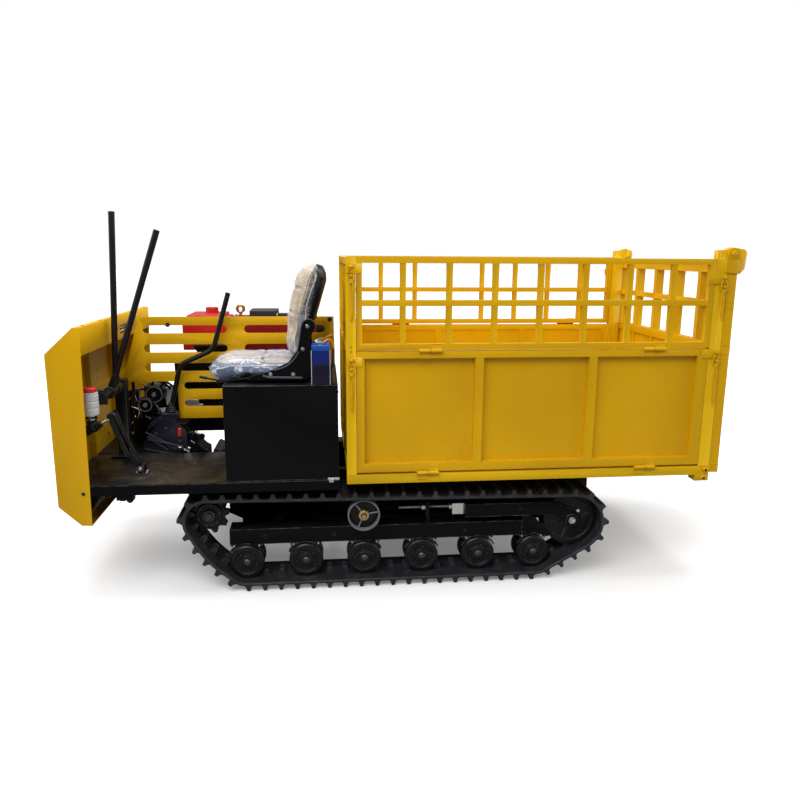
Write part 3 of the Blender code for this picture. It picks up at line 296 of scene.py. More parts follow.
YELLOW = (0.66, 0.365, 0.002)
LOOKS = {
    "yellow": painted(
        "yellow_enamel", YELLOW, 0.30, 0.08, 0.0016, (0.35, 0.26, 0.12), (0.32, 0.20, 0.03), 0.22
    ),
    # A lighter, greener copy of the yellow enamel: painted light for the inner faces, as if they were lit
    # more directly; it also carries more dust.
    "yellow_painted_brighter": painted(
        "yellow_enamel_painted_brighter", (0.70, 0.42, 0.002), 0.36, 0.18, 0.003, (0.40, 0.27, 0.08), None, 0.22
    ),
    # The last figure of the black, satin, chassis and wheel paints sets the strength of their painted edge
    # highlight.
    "black": painted(
        "black_enamel", (0.0036, 0.0036, 0.0042), 0.26, 0.08, 0.001, (0.06, 0.055, 0.05), (0.05, 0.05, 0.05),
        0.10, 0.6,
    ),
    "satin": painted(
        "black_satin", (0.0060, 0.0060, 0.0066), 0.33, 0.22, 0.0008, (0.09, 0.08, 0.07), (0.10, 0.09, 0.08),
        0.25, 0.7,
    ),
    "chassis": painted(
        "chassis_black", (0.0028, 0.0031, 0.0040), 0.24, 0.18, 0.001, (0.050, 0.045, 0.040),
        (0.10, 0.10, 0.10), 0.12, 0.9,
    ),
    "red": painted("engine_red", (0.50, 0.012, 0.014), 0.25, 0.20, 0.001, (0.28, 0.16, 0.12)),
    # A darker copy of the engine red: painted shade for the shroud.
    "red_painted_shade": painted("engine_red_painted_shade", (0.22, 0.006, 0.010), 0.28, 0.20, 0.001, (0.20, 0.10, 0.08)),
    "navy": painted("gearbox_navy", (0.0062, 0.0070, 0.0165), 0.40, 0.35, 0.0015, (0.07, 0.06, 0.065)),
    "floor": floor_plate(), "rubber": rubbery("track_rubber", (0.014, 0.016, 0.021), 0.52, 0.35),
    "hose": rubbery("hose_rubber", (0.011, 0.011, 0.012), 0.40, 0.20),
    "wheel": painted(
        "wheel_black", (0.0060, 0.0062, 0.0075), 0.30, 0.25, 0.0006, (0.07, 0.065, 0.055), (0.10, 0.10, 0.09),
        0.25, 0.8,
    ),
    "dirt_brown": painted("dirt_brown", (0.060, 0.038, 0.018), 0.6, 0.3, 0.0006),
    "steel": steel("worn_steel", (0.46, 0.45, 0.43), 0.32, 0.25),
    "dark_steel": steel("dark_steel", (0.11, 0.105, 0.10), 0.42, 0.45),
    "bright": steel("bright_steel", (0.72, 0.71, 0.69), 0.18, 0.04),
    "zinc": steel("zinc_plate", (0.62, 0.60, 0.55), 0.28, 0.06),
    "rim_grey": painted("rim_grey", (0.16, 0.165, 0.18), 0.35, 0.2, 0.0004),
    "brass": steel("yellow_zinc", (0.62, 0.44, 0.20), 0.30, 0.12),
    "blue": plastic("battery_blue", (0.004, 0.075, 0.40), 0.22),
    "battery_dark": plastic("battery_dark", (0.002, 0.003, 0.016), 0.25),
    "white_plastic": plastic("milky_plastic", (0.60, 0.61, 0.63), 0.40, 0.2),
    "red_plastic": plastic("red_cap", (0.60, 0.030, 0.025), 0.35),
    "black_plastic": plastic("black_plastic", (0.015, 0.015, 0.016), 0.38),
    "battery_mid": plastic("battery_mid", (0.0004, 0.012, 0.13), 0.25),
    "orange": plastic("orange_lead", (0.75, 0.26, 0.02), 0.40),
    "frosted": plastic("frosted_plastic", (0.55, 0.56, 0.60), 0.30, 0.2),
    "bronze": steel("bronze_eye", (0.50, 0.33, 0.20), 0.30, 0.10),
    "grey_paint": painted("grey_edge", (0.045, 0.047, 0.065), 0.35, 0.3, 0.0004),
    "cream": plastic("cream_piping", (0.60, 0.50, 0.36), 0.40),
    "brown_thread": plastic("brown_thread", (0.10, 0.055, 0.025), 0.60),
    "vinyl": vinyl("seat_vinyl", (0.0, 0.0, 1.0), 1.056),
    "vinyl_back": vinyl("seat_back_vinyl", (-0.958, 0.0, 0.285), 0.806),
    # The cushion wrap's blue tint is a painted bluish reflection on clear film.
    "film": film("clear_film", 0.46, (0.40, 0.54, 0.82)),
    "film_back": film("clear_film_back", 0.26, (0.86, 0.84, 0.84)),
}


# Shapes


def smooth_route(points, steps=8):
    """A Catmull-Rom line through the points."""
    points = [Vector(point) for point in points]
    ends = [points[0] * 2 - points[1], *points, points[-1] * 2 - points[-2]]
    route = []
    for a, b, c, d in zip(ends, ends[1:], ends[2:], ends[3:]):
        for step in range(steps):
            t = step / steps
            route.append(
                0.5 * (
                    2 * b
                    + (c - a) * t
                    + (2 * a - 5 * b + 4 * c - d) * t**2
                    + (3 * b - a - 3 * c + d) * t**3
                )
            )
    route.append(points[-1])
    return route


def rounded(points, radius, steps=6):
    """A route whose corners are bends of about that radius."""
    points = [Vector(point) for point in points]
    route = [points[0]]
    for before, corner, after in zip(points, points[1:], points[2:]):
        enter = corner + (before - corner).normalized() * radius
        leave = corner + (after - corner).normalized() * radius
        for step in range(steps + 1):
            t = step / steps
            route.append(enter * (1 - t) ** 2 + corner * 2 * t * (1 - t) + leave * t * t)
    route.append(points[-1])
    return route


def arc(centre, radius, start, end, steps):
    angles = [math.radians(start + (end - start) * step / steps) for step in range(steps + 1)]
    return [(centre[0] + radius * math.cos(a), centre[1] + radius * math.sin(a)) for a in angles]


def turns(count, start=0.0):
    """The angles of that many even steps round a circle."""
    return [math.tau * step / count + start for step in range(count)]


class Shape:
    """Closed solids gathered into one mesh."""

    def __init__(self):
        self.bm = bmesh.new()

    def block(self, xs, ys, zs, turn=None):
        made = bmesh.ops.create_cube(self.bm, size=1.0)["verts"]
        low = [min(pair) for pair in (xs, ys, zs)]
        high = [max(pair) for pair in (xs, ys, zs)]
        bmesh.ops.scale(self.bm, verts=made, vec=[b - a for a, b in zip(low, high)])
        middle = Vector([(a + b) / 2 for a, b in zip(low, high)])
        move = Matrix.Translation(middle) @ (turn.to_4x4() if turn else Matrix.Identity(4))
        bmesh.ops.transform(self.bm, matrix=move, verts=made)
        return self

    def bar(self, start, end, radius, sides=24, end_radius=None):
        start, end = Vector(start), Vector(end)
        along = end - start
        made = bmesh.ops.create_cone(
            self.bm, cap_ends=True, segments=sides, radius1=radius,
            radius2=radius if end_radius is None else end_radius, depth=along.length,
        )["verts"]
        turn = along.to_track_quat("Z", "Y").to_matrix().to_4x4()
        bmesh.ops.transform(self.bm, matrix=Matrix.Translation((start + end) / 2) @ turn, verts=made)
        return self

    def ball(self, centre, radius, squash=(1, 1, 1), fine=16):
        made = bmesh.ops.create_uvsphere(
            self.bm, u_segments=fine, v_segments=fine // 2, radius=radius
        )["verts"]
        bmesh.ops.scale(self.bm, verts=made, vec=squash)
        bmesh.ops.translate(self.bm, verts=made, vec=centre)
        return self

    def lathe(self, profile, centre=(0, 0, 0), axis="Y", sides=48, closed=True):
        """(radius, along) points turned about the axis through the centre. Radius 0 closes on the axis."""
        rings = []
        for radius, along in profile:
            ring = []
            for step in range(sides if radius > 1e-6 else 1):
                angle = math.tau * step / sides
                a, b = radius * math.cos(angle), radius * math.sin(angle)
                spot = {"Y": (a, along, b), "X": (along, a, b), "Z": (a, b, along)}[axis]
                ring.append(self.bm.verts.new(Vector(spot) + Vector(centre)))
            rings.append(ring)
        pairs = list(zip(rings, rings[1:]))
        if closed:
            pairs.append((rings[-1], rings[0]))
        faces = []
        for one, two in pairs:
            for step in range(sides):
                nxt = (step + 1) % sides
                corners = [
                    one[step % len(one)], one[nxt % len(one)], two[nxt % len(two)], two[step % len(two)]
                ]
                corners = list(dict.fromkeys(corners))
                if len(corners) > 2:
                    faces.append(self.bm.faces.new(corners))
        bmesh.ops.recalc_face_normals(self.bm, faces=faces)
        return self

    def turned(self, profile, side, centre, sides, closed=True):
        """(radius, distance out) points turned about a line across the machine through the (x, z) centre."""
        return self.lathe([(r, side * y) for r, y in profile], (centre[0], 0, centre[1]), "Y", sides, closed)

    def tube(self, route, radius, sides=12, loop=False, radii=None):
        route = [Vector(point) for point in route]
        count = len(route)
        rings, side = [], None
        for index, point in enumerate(route):
            if loop:
                ahead, behind = route[(index + 1) % count], route[index - 1]
            else:
                ahead, behind = route[min(index + 1, count - 1)], route[max(index - 1, 0)]
            along = (ahead - behind).normalized()
            if side is None:
                side = along.orthogonal().normalized()
            side = (side - along * side.dot(along)).normalized()
            up = along.cross(side)
            size = radii[index] if radii else radius
            ring = []
            for step in range(sides):
                angle = math.tau * step / sides
                ring.append(self.bm.verts.new(point + (side * math.cos(angle) + up * math.sin(angle)) * size))
            rings.append(ring)
        faces = []
        pairs = list(zip(rings, rings[1:])) + ([(rings[-1], rings[0])] if loop else [])
        for one, two in pairs:
            for step in range(sides):
                nxt = (step + 1) % sides
                faces.append(self.bm.faces.new((one[step], one[nxt], two[nxt], two[step])))
        if not loop:
            faces.append(self.bm.faces.new(rings[0]))
            faces.append(self.bm.faces.new(rings[-1]))
        bmesh.ops.recalc_face_normals(self.bm, faces=faces)
        return self

    def skin(self, rings):
        """A closed solid over rings of points that follow each other, with a cap at both ends."""
        rows = [[self.bm.verts.new(point) for point in ring] for ring in rings]
        faces = [self.bm.faces.new(rows[0]), self.bm.faces.new(rows[-1][::-1])]
        for one, two in zip(rows, rows[1:]):
            for step in range(len(one)):
                nxt = (step + 1) % len(one)
                faces.append(self.bm.faces.new((one[step], one[nxt], two[nxt], two[step])))
        bmesh.ops.recalc_face_normals(self.bm, faces=faces)
        return self

    def slab(self, outline, axis, span):
        """A flat outline of (x, z), (y, z) or (x, y) points, between the two spans of its axis."""
        def spot(a, b, along):
            return {"Y": (a, along, b), "X": (along, a, b), "Z": (a, b, along)}[axis]

        one = [self.bm.verts.new(spot(a, b, min(span))) for a, b in outline]
        two = [self.bm.verts.new(spot(a, b, max(span))) for a, b in outline]
        faces = [self.bm.faces.new(one), self.bm.faces.new(two[::-1])]
        for index in range(len(outline)):
            nxt = (index + 1) % len(outline)
            faces.append(self.bm.faces.new((one[index], one[nxt], two[nxt], two[index])))
        bmesh.ops.recalc_face_normals(self.bm, faces=faces)
        return self

    def bolt(self, spot, out, size, head=0.6, washer=True):
        """A hexagon head with a washer, standing on the spot and facing out."""
        spot, out = Vector(spot), Vector(out).normalized()
        if washer:
            self.bar(spot - out * size * 0.1, spot + out * size * 0.18, size * 1.25, 20)
        self.bar(spot, spot + out * size * (0.18 + head), size * 0.98, 6)
        self.bar(
            spot + out * size * (0.15 + head), spot + out * size * (0.32 + head), size * 0.55, 14, size * 0.45
        )
        return self

    def mesh(self, name):
        made = bpy.data.meshes.new(name)
        self.bm.to_mesh(made)
        self.bm.free()
        return made


def show(name, shape, look, body, bevel=0.0, replaces=(), segments=2, angle=35.0):
    """Makes the piece, gives it its look, rides it on its body and hides the nodes that it stands for."""
    mesh = shape.mesh(name) if isinstance(shape, Shape) else shape
    obj = bpy.data.objects.new(name, mesh)
    bpy.context.scene.collection.objects.link(obj)
    if not mesh.materials:
        mesh.materials.append(LOOKS[look])
        mesh.shade_smooth()
        mesh.set_sharp_from_angle(angle=math.radians(angle))
    if bevel:
        soften(obj, bevel, segments)
    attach(obj, body)
    if replaces:
        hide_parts(*replaces)
    return obj


def soften(obj, width, segments=2):
    edge = obj.modifiers.new("edges", "BEVEL")
    edge.width = width
    edge.segments = segments
    edge.limit_method = "ANGLE"
    edge.angle_limit = math.radians(32)
    edge.harden_normals = True
    edge.use_clamp_overlap = True
    return obj


def dress(node, look, bevel=0.0015, segments=2):
    """Gives a CAD node its material and softly rounded edges, leaving its own mesh alone."""
    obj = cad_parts[node]
    obj.data.materials.clear()
    obj.data.materials.append(LOOKS[look])
    obj.data.shade_smooth()
    weld = obj.modifiers.new("weld", "WELD")
    weld.merge_threshold = 0.00002
    flat = obj.modifiers.new("flat", "DECIMATE")
    flat.decimate_type = "DISSOLVE"
    flat.angle_limit = math.radians(0.6)
    if bevel:
        soften(obj, bevel, segments)
    return obj


def beads(shape, start, end, radius=0.0022, seed=1):
    """A hand-laid weld: a row of overlapping ripples."""
    start, end = Vector(start), Vector(end)
    length = (end - start).length
    count = max(4, int(length / 0.0045))
    dice = random.Random(seed)
    route, radii = [], []
    for step in range(count + 1):
        route.append(start.lerp(end, step / count))
        radii.append(radius * (0.82 + 0.3 * (step % 2) + 0.12 * dice.random()))
    radii[0] = radii[-1] = radius * 0.4
    shape.tube(route, radius, 7, radii=radii)


# Stage, light and camera

FLOOR_RADIUS = 60.0
CAMERA_PLACE = Vector((-0.3659, -3.6553, 1.5385))
CAMERA_YAW, CAMERA_DOWN, CAMERA_ROLL = (math.radians(angle) for angle in (6.199, 11.683, 0.396))


def camera():
    lens = bpy.data.cameras.new("camera")
    lens.lens = 31.97
    lens.sensor_width = 36.0
    eye = bpy.data.objects.new("camera", lens)
    bpy.context.scene.collection.objects.link(eye)
    yaw, down, roll = CAMERA_YAW, CAMERA_DOWN, CAMERA_ROLL
    forward = Vector((math.sin(yaw) * math.cos(down), math.cos(yaw) * math.cos(down), -math.sin(down)))
    level = Vector((math.cos(yaw), -math.sin(yaw), 0.0))
    above = level.cross(forward)
    right = level * math.cos(roll) + above * math.sin(roll)
    up = above * math.cos(roll) - level * math.sin(roll)
    turn = Matrix((right, up, -forward)).transposed().to_4x4()
    eye.matrix_world = Matrix.Translation(CAMERA_PLACE) @ turn
    bpy.context.scene.camera = eye


def softbox(name, place, target, size, power, tint=(1.0, 1.0, 1.0)):
    lamp = bpy.data.lights.new(name, "AREA")
    lamp.shape = "RECTANGLE"
    lamp.size, lamp.size_y = size
    lamp.energy = power
    lamp.color = tint
    holder = bpy.data.objects.new(name, lamp)
    bpy.context.scene.collection.objects.link(holder)
    holder.location = place
    aim = Vector(target) - Vector(place)
    holder.rotation_euler = aim.to_track_quat("-Z", "Y").to_euler()


def light():
    softbox("key", (-1.8, -3.6, 4.4), (0.1, 0.0, 0.7), (4.5, 2.6), 215)
    softbox("overhead", (0.2, 0.8, 5.2), (0.1, 0.2, 0.6), (5.0, 4.0), 285)
    softbox("right_fill", (5.2, -1.6, 2.6), (0.4, 0.0, 0.8), (3.0, 3.0), 80)
    softbox("left_fill", (-5.0, 0.4, 2.8), (-0.8, 0.0, 0.8), (3.0, 3.0), 58)
    world = bpy.data.worlds.new("studio")
    world.use_nodes = True
    nodes, links = world.node_tree.nodes, world.node_tree.links
    shade_node = nodes["Background"]
    shade_node.inputs["Color"].default_value = (1.0, 1.0, 1.0, 1.0)
    path = nodes.new("ShaderNodeLightPath")
    strength = nodes.new("ShaderNodeMapRange")
    strength.inputs["To Min"].default_value = 0.30
    strength.inputs["To Max"].default_value = 1.0
    links.new(path.outputs["Is Camera Ray"], strength.inputs["Value"])
    links.new(strength.outputs["Result"], shade_node.inputs["Strength"])
    bpy.context.scene.world = world
    bpy.context.scene.view_settings.view_transform = "Standard"


def floor():
    """A pale floor that glows for the camera, dimmed near the machine as a painted shadow and turning to the
    backdrop's white far out, and throws little light back up.
    """
    ground = Look("pale_floor", (0.86, 0.86, 0.86), 0.8)
    seen = ground.node("ShaderNodeLightPath").outputs["Is Camera Ray"]
    tone = ground.ramp(ground.noise(0.8, 3.0), 0.3, 0.7)
    pale = ground.mix(tone, (0.83, 0.83, 0.84), (0.87, 0.87, 0.87))
    ground.set("Base Color", ground.mix(seen, (0.30, 0.30, 0.30), pale))
    ground.set("Specular IOR Level", 0.0)
    far = ground.node("ShaderNodeVectorMath", operation="LENGTH")
    ground.put(far.inputs[0], ground.place)
    # The glow is weakest near the machine: a painted shadow on the floor around it.
    glow_dim_for_painted_shadow = ground.ramp(far.outputs["Value"], 1.1, 4.6, 0.16, 1.0)
    ground.set("Emission Color", (1.0, 1.0, 1.0))
    ground.set("Emission Strength", ground.combine("MULTIPLY", glow_dim_for_painted_shadow, seen))
    mesh = bpy.data.meshes.new("floor")
    bm = bmesh.new()
    bmesh.ops.create_circle(bm, cap_ends=True, segments=96, radius=FLOOR_RADIUS)
    bm.to_mesh(mesh)
    bm.free()
    mesh.materials.append(ground.mat)
    disc = bpy.data.objects.new("floor", mesh)
    bpy.context.scene.collection.objects.link(disc)
    disc.location.z = CAD_BOX[0][2] - 0.0005


# Materials of the CAD nodes that stay


def dress_nodes():
    plain = {
        # The load box takes the lighter copy of the yellow: painted light.
        "load_box": ("yellow_painted_brighter", 0.0018), "tailgate": ("yellow", 0.0018),
        "front_cowl": ("yellow", 0.0015), "guard_panel": ("yellow", 0.0010),
        "chassis_frame": ("chassis", 0.0025), "platform": ("floor", 0.0022), "seat_base": ("black", 0.0025),
        "lever_stand": ("satin", 0.0015), "pedal_bracket": ("satin", 0.0012), "gearbox": ("navy", 0.0030),
        "hoist_barrel": ("chassis", 0.0015), "hoist_rod": ("bright", 0.0), "flywheel": ("steel", 0.0010),
        "fuel_tank": ("red", 0.0080),
    }
    for node, (look, bevel) in plain.items():
        dress(node, look, bevel)
    for side, _ in SIDES:
        for node, look, bevel in (
            ("track_frame", "chassis", 0.003), ("tension_yoke", "chassis", 0.002),
            ("lower_gate", "yellow", 0.0015), ("mesh_gate", "yellow", 0.0012),
        ):
            dress(f"{node}_{side}", look, bevel)


# Undercarriage

SPROCKET, IDLER, CARRIER = (-0.905, 0.342), (0.815, 0.279), (-0.192, 0.347)
TRACK_MIDDLE, BELT, LUG, LUG_PITCH = 0.440, 0.012, 0.025, 0.0745
ROLLER_RADIUS = 0.080
ROLLER_PLACES = [(-0.736 + 0.274 * index, LUG + BELT + ROLLER_RADIUS + 0.0015) for index in range(6)]
BEAM_LOW, BEAM_HIGH = 0.203, 0.277


def belt_line():
    """The belt's middle line, as a function from running length to (point, outward), and its length."""
    fit = ROLLER_RADIUS + 0.0015 + BELT / 2
    wheels = [
        (SPROCKET, 0.094 + BELT / 2), (ROLLER_PLACES[0], fit), (ROLLER_PLACES[-1], fit),
        (IDLER, 0.134 + BELT / 2),
    ]
    headings = []
    for (a, ra), (b, rb) in zip(wheels, wheels[1:] + wheels[:1]):
        along = Vector((b[0] - a[0], b[1] - a[1]))
        headings.append(math.atan2(along.y, along.x) - math.acos((ra - rb) / along.length))
    points, outs = [], []
    for index, (centre, radius) in enumerate(wheels):
        start, stop = headings[index - 1], headings[index]
        while stop < start:
            stop += math.tau
        steps = max(2, round((stop - start) / math.radians(5)))
        for step in range(steps + 1):
            angle = start + (stop - start) * step / steps
            out = Vector((math.cos(angle), math.sin(angle)))
            points.append(Vector(centre) + out * radius)
            outs.append(out)
        if index == 0:
            following, next_radius = wheels[1]
            out = Vector((math.cos(stop), math.sin(stop)))
            begin, finish = Vector(centre) + out * radius, Vector(following) + out * next_radius
            for step in range(1, 12):
                t = step / 12
                points.append(begin.lerp(finish, t) + out * 0.018 * 4 * t * (1 - t))
                outs.append(out)
    runs = [0.0]
    for a, b in zip(points, points[1:] + points[:1]):
        runs.append(runs[-1] + (b - a).length)

    def at(length):
        length %= runs[-1]
        index = bisect.bisect_right(runs, length) - 1
        following = (index + 1) % len(points)
        t = (length - runs[index]) / max(runs[index + 1] - runs[index], 1e-9)
        return points[index].lerp(points[following], t), outs[index].lerp(outs[following], t).normalized()

    return at, runs[-1]


def sweep_block(bm, rows):
    """A closed solid lofted through rows of points, one row for each section."""
    rings = [[bm.verts.new(point) for point in row] for row in rows]
    faces = [bm.faces.new(rings[0]), bm.faces.new(rings[-1])]
    for one, two in zip(rings, rings[1:]):
        for index in range(len(one)):
            nxt = (index + 1) % len(one)
            faces.append(bm.faces.new((one[index], one[nxt], two[nxt], two[index])))
    bmesh.ops.recalc_face_normals(bm, faces=faces)


def track(side_name, side):
    at, total = belt_line()
    pitches = round(total / LUG_PITCH)
    pitch = total / pitches
    section = (
        (-0.120, 0.004), (-0.117, 0.006), (0.117, 0.006), (0.120, 0.004), (0.120, -0.004), (0.1175, -0.0085),
        (0.111, -0.0085), (0.107, -0.006), (-0.107, -0.006), (-0.111, -0.0085), (-0.1175, -0.0085),
        (-0.120, -0.004),
    )
    shape = Shape()
    bm = shape.bm
    rings = []
    for step in range(pitches * 4):
        spot, out = at(step * pitch / 4)
        ring = []
        for across, height in section:
            flat = spot + out * height
            ring.append(bm.verts.new((flat.x, side * (TRACK_MIDDLE + across), flat.y)))
        rings.append(ring)
    faces = []
    for one, two in zip(rings, rings[1:] + rings[:1]):
        for index in range(len(section)):
            nxt = (index + 1) % len(section)
            faces.append(bm.faces.new((one[index], one[nxt], two[nxt], two[index])))
    bmesh.ops.recalc_face_normals(bm, faces=faces)

    def spot_at(length, height, across):
        spot, out = at(length)
        flat = spot + out * (BELT / 2 + height)
        return flat.x, side * (TRACK_MIDDLE + across), flat.y

    # The outer lugs have hollow flanks and a wide foot at both edges; the inner guide lugs stand in two rows.
    flank = (
        (0.0215, -0.003), (0.0135, 0.004), (0.0095, 0.012), (0.0085, LUG - 0.004), (0.0060, LUG - 0.0005)
    )
    outline = [(-s, h) for s, h in flank] + [(s, h) for s, h in flank[::-1]]
    for index in range(pitches):
        middle = index * pitch
        lean = 0.004 if index % 2 else -0.004
        rows = []
        for across, wide in (
            (-0.118, 1.0), (-0.100, 1.0), (-0.070, 0.82), (0.0, 0.75), (0.070, 0.82), (0.100, 1.0),
            (0.118, 1.0),
        ):
            shift = lean * (1 - abs(across) / 0.118)
            rows.append([spot_at(middle + shift + s * wide, h, across) for s, h in outline])
        sweep_block(bm, rows)
        for across in (-0.0225, 0.0225):
            rows = []
            for depth, long, thick in (
                (0.002, 0.0180, 0.0060), (-0.014, 0.0150, 0.0058), (-0.026, 0.0105, 0.0050),
                (-0.030, 0.0070, 0.0035),
            ):
                corners = ((-long, -thick), (long, -thick), (long, thick), (-long, thick))
                rows.append([spot_at(middle + s, depth - BELT, across + t) for s, t in corners])
            sweep_block(bm, rows)
        for across in (-0.109, 0.109):
            spot, out = at(middle + pitch / 2)
            flat = spot - out * 0.0085
            shape.ball((flat.x, side * (TRACK_MIDDLE + across), flat.y), 0.0035, fine=8)
    show(f"rubber_track_{side_name}", shape, "rubber", "chassis", 0.0012, (f"track_{side_name}",), 2, 28)


def road_roller(side_name, side, index, place):
    node = f"road_roller_{side_name}_{index}"
    profile = (
        (0.0, 0.376), (0.030, 0.376), (0.034, 0.381), (0.056, 0.383), (0.060, 0.378), (0.074, 0.379),
        (0.080, 0.384), (0.080, 0.408), (0.077, 0.411), (0.030, 0.413), (0.0185, 0.418), (0.0185, 0.462),
        (0.030, 0.467), (0.077, 0.469), (0.080, 0.472), (0.080, 0.496), (0.074, 0.501), (0.060, 0.502),
        (0.056, 0.495), (0.036, 0.493), (0.034, 0.500), (0.031, 0.5035), (0.024, 0.5045), (0.0, 0.5045),
    )
    shape = Shape().turned(profile, side, place, 64, closed=False)
    show(f"roller_body_{side_name}_{index}", shape, "wheel", node, 0.0010, (node,), 2, 30)
    cap = Shape()
    dome = ((0.0, 0.512), (0.008, 0.5115), (0.014, 0.509), (0.017, 0.5065), (0.0175, 0.504), (0.0, 0.504))
    cap.turned(dome, side, place, 32, closed=False)
    cap.bolt((place[0], side * 0.509, place[1]), (0, side, 0), 0.0075, 0.5)
    show(f"roller_cap_{side_name}_{index}", cap, "dark_steel", node, 0.0004)
    rivets = Shape()
    for angle in turns(5, index):
        x, z = place[0] + 0.046 * math.cos(angle), place[1] + 0.046 * math.sin(angle)
        rivets.bar((x, side * 0.490, z), (x, side * 0.4985, z), 0.0042, 12, 0.0034)
    show(f"roller_rivets_{side_name}_{index}", rivets, "dark_steel", node, 0.0004)


def sprocket(side_name, side):
    node = f"drive_sprocket_{side_name}"
    x, z = SPROCKET
    outline = []
    for tooth in range(9):
        turn = 40 * tooth + 6
        for offset, radius in ((-20, 0.0705), (-14, 0.0720), (-9.5, 0.0800), (-6.5, 0.0885), (-3.5, 0.0922),
                               (3.5, 0.0922), (6.5, 0.0885), (9.5, 0.0800), (14, 0.0720)):
            angle = math.radians(turn + offset)
            outline.append((x + radius * math.cos(angle), z + radius * math.sin(angle)))
    wheel = Shape().slab(outline, "Y", (side * 0.425, side * 0.455))
    hub = (
        (0.0, 0.398), (0.058, 0.398), (0.062, 0.402), (0.062, 0.464), (0.057, 0.470), (0.044, 0.470),
        (0.040, 0.464), (0.030, 0.464), (0.0, 0.464),
    )
    wheel.turned(hub, side, (x, z), 56, closed=False)
    show(f"sprocket_wheel_{side_name}", wheel, "wheel", node, 0.0014, (node,), 3, 30)
    metal = Shape()
    ring = (
        (0.0, 0.460), (0.029, 0.460), (0.029, 0.476), (0.0255, 0.480), (0.0205, 0.480), (0.0185, 0.474),
        (0.0, 0.474),
    )
    metal.turned(ring, side, (x, z), 40, closed=False)
    metal.bar((x, side * 0.310, z), (x, side * 0.488, z), 0.0150, 28)
    metal.bolt((x, side * 0.480, z), (0, side, 0), 0.0125, 0.5)
    for angle in turns(6, 0.3):
        metal.bolt(
            (x + 0.050 * math.cos(angle), side * 0.469, z + 0.050 * math.sin(angle)), (0, side, 0), 0.0052,
            0.7,
        )
    show(f"sprocket_hub_{side_name}", metal, "dark_steel", node, 0.0005)


def idler(side_name, side):
    node = f"idler_{side_name}"
    x, z = IDLER
    profile = (
        (0.0165, 0.384), (0.048, 0.384), (0.052, 0.393), (0.104, 0.397), (0.110, 0.389), (0.128, 0.390),
        (0.1325, 0.394), (0.1325, 0.408), (0.130, 0.411), (0.100, 0.413), (0.097, 0.418), (0.097, 0.462),
        (0.100, 0.467), (0.130, 0.469), (0.1325, 0.472), (0.1325, 0.486), (0.128, 0.490), (0.110, 0.491),
        (0.104, 0.483), (0.052, 0.487), (0.048, 0.496), (0.0165, 0.496),
    )
    wheel = Shape().turned(profile, side, (x, z), 80)
    for angle in turns(6, 0.2):
        a, b = math.cos(angle), math.sin(angle)
        wheel.bar(
            (x + 0.050 * a, side * 0.4845, z + 0.050 * b), (x + 0.106 * a, side * 0.483, z + 0.106 * b),
            0.0050, 10,
        )
    show(f"idler_wheel_{side_name}", wheel, "wheel", node, 0.0012, (node,), 2, 30)


def carrier_wheel(side_name, side):
    node = f"carrier_wheel_{side_name}"
    x, z = CARRIER
    rim = (
        (0.0675, 0.500), (0.0740, 0.500), (0.0755, 0.502), (0.0755, 0.543), (0.0740, 0.545), (0.0685, 0.545),
        (0.0675, 0.543),
    )
    shape = Shape().turned(rim, side, (x, z), 72)
    for spoke in range(3):
        angle = math.radians(8 + 120 * spoke)
        along = Vector((math.cos(angle), 0, math.sin(angle)))
        middle = Vector((x, side * 0.526, z))
        shape.tube([middle + along * 0.020, middle + along * 0.045, middle + along * 0.0705], 0.0042, 10,
                   radii=[0.0052, 0.0040, 0.0050])
    show(f"carrier_rim_{side_name}", shape, "rim_grey", node, 0.0006, (node,))
    web = ((0.0245, 0.508), (0.069, 0.508), (0.069, 0.516), (0.050, 0.520), (0.0245, 0.518))
    dish = Shape().turned(web, side, (x, z), 64)
    show(f"carrier_web_{side_name}", dish, "wheel", node, 0.0006)
    hub = Shape()
    sleeve = (
        (0.0138, 0.497), (0.025, 0.497), (0.026, 0.500), (0.026, 0.540), (0.0235, 0.545), (0.0200, 0.5465),
        (0.0138, 0.5465),
    )
    hub.turned(sleeve, side, (x, z), 40)
    show(f"carrier_hub_{side_name}", hub, "brass", node, 0.0006)
    nut = Shape().bar((x, side * 0.540, z), (x, side * 0.552, z), 0.0125, 28)
    nut.bolt((x, side * 0.551, z), (0, side, 0), 0.0100, 0.75, washer=False)
    show(f"carrier_axle_nut_{side_name}", nut, "brass", "chassis", 0.0005)


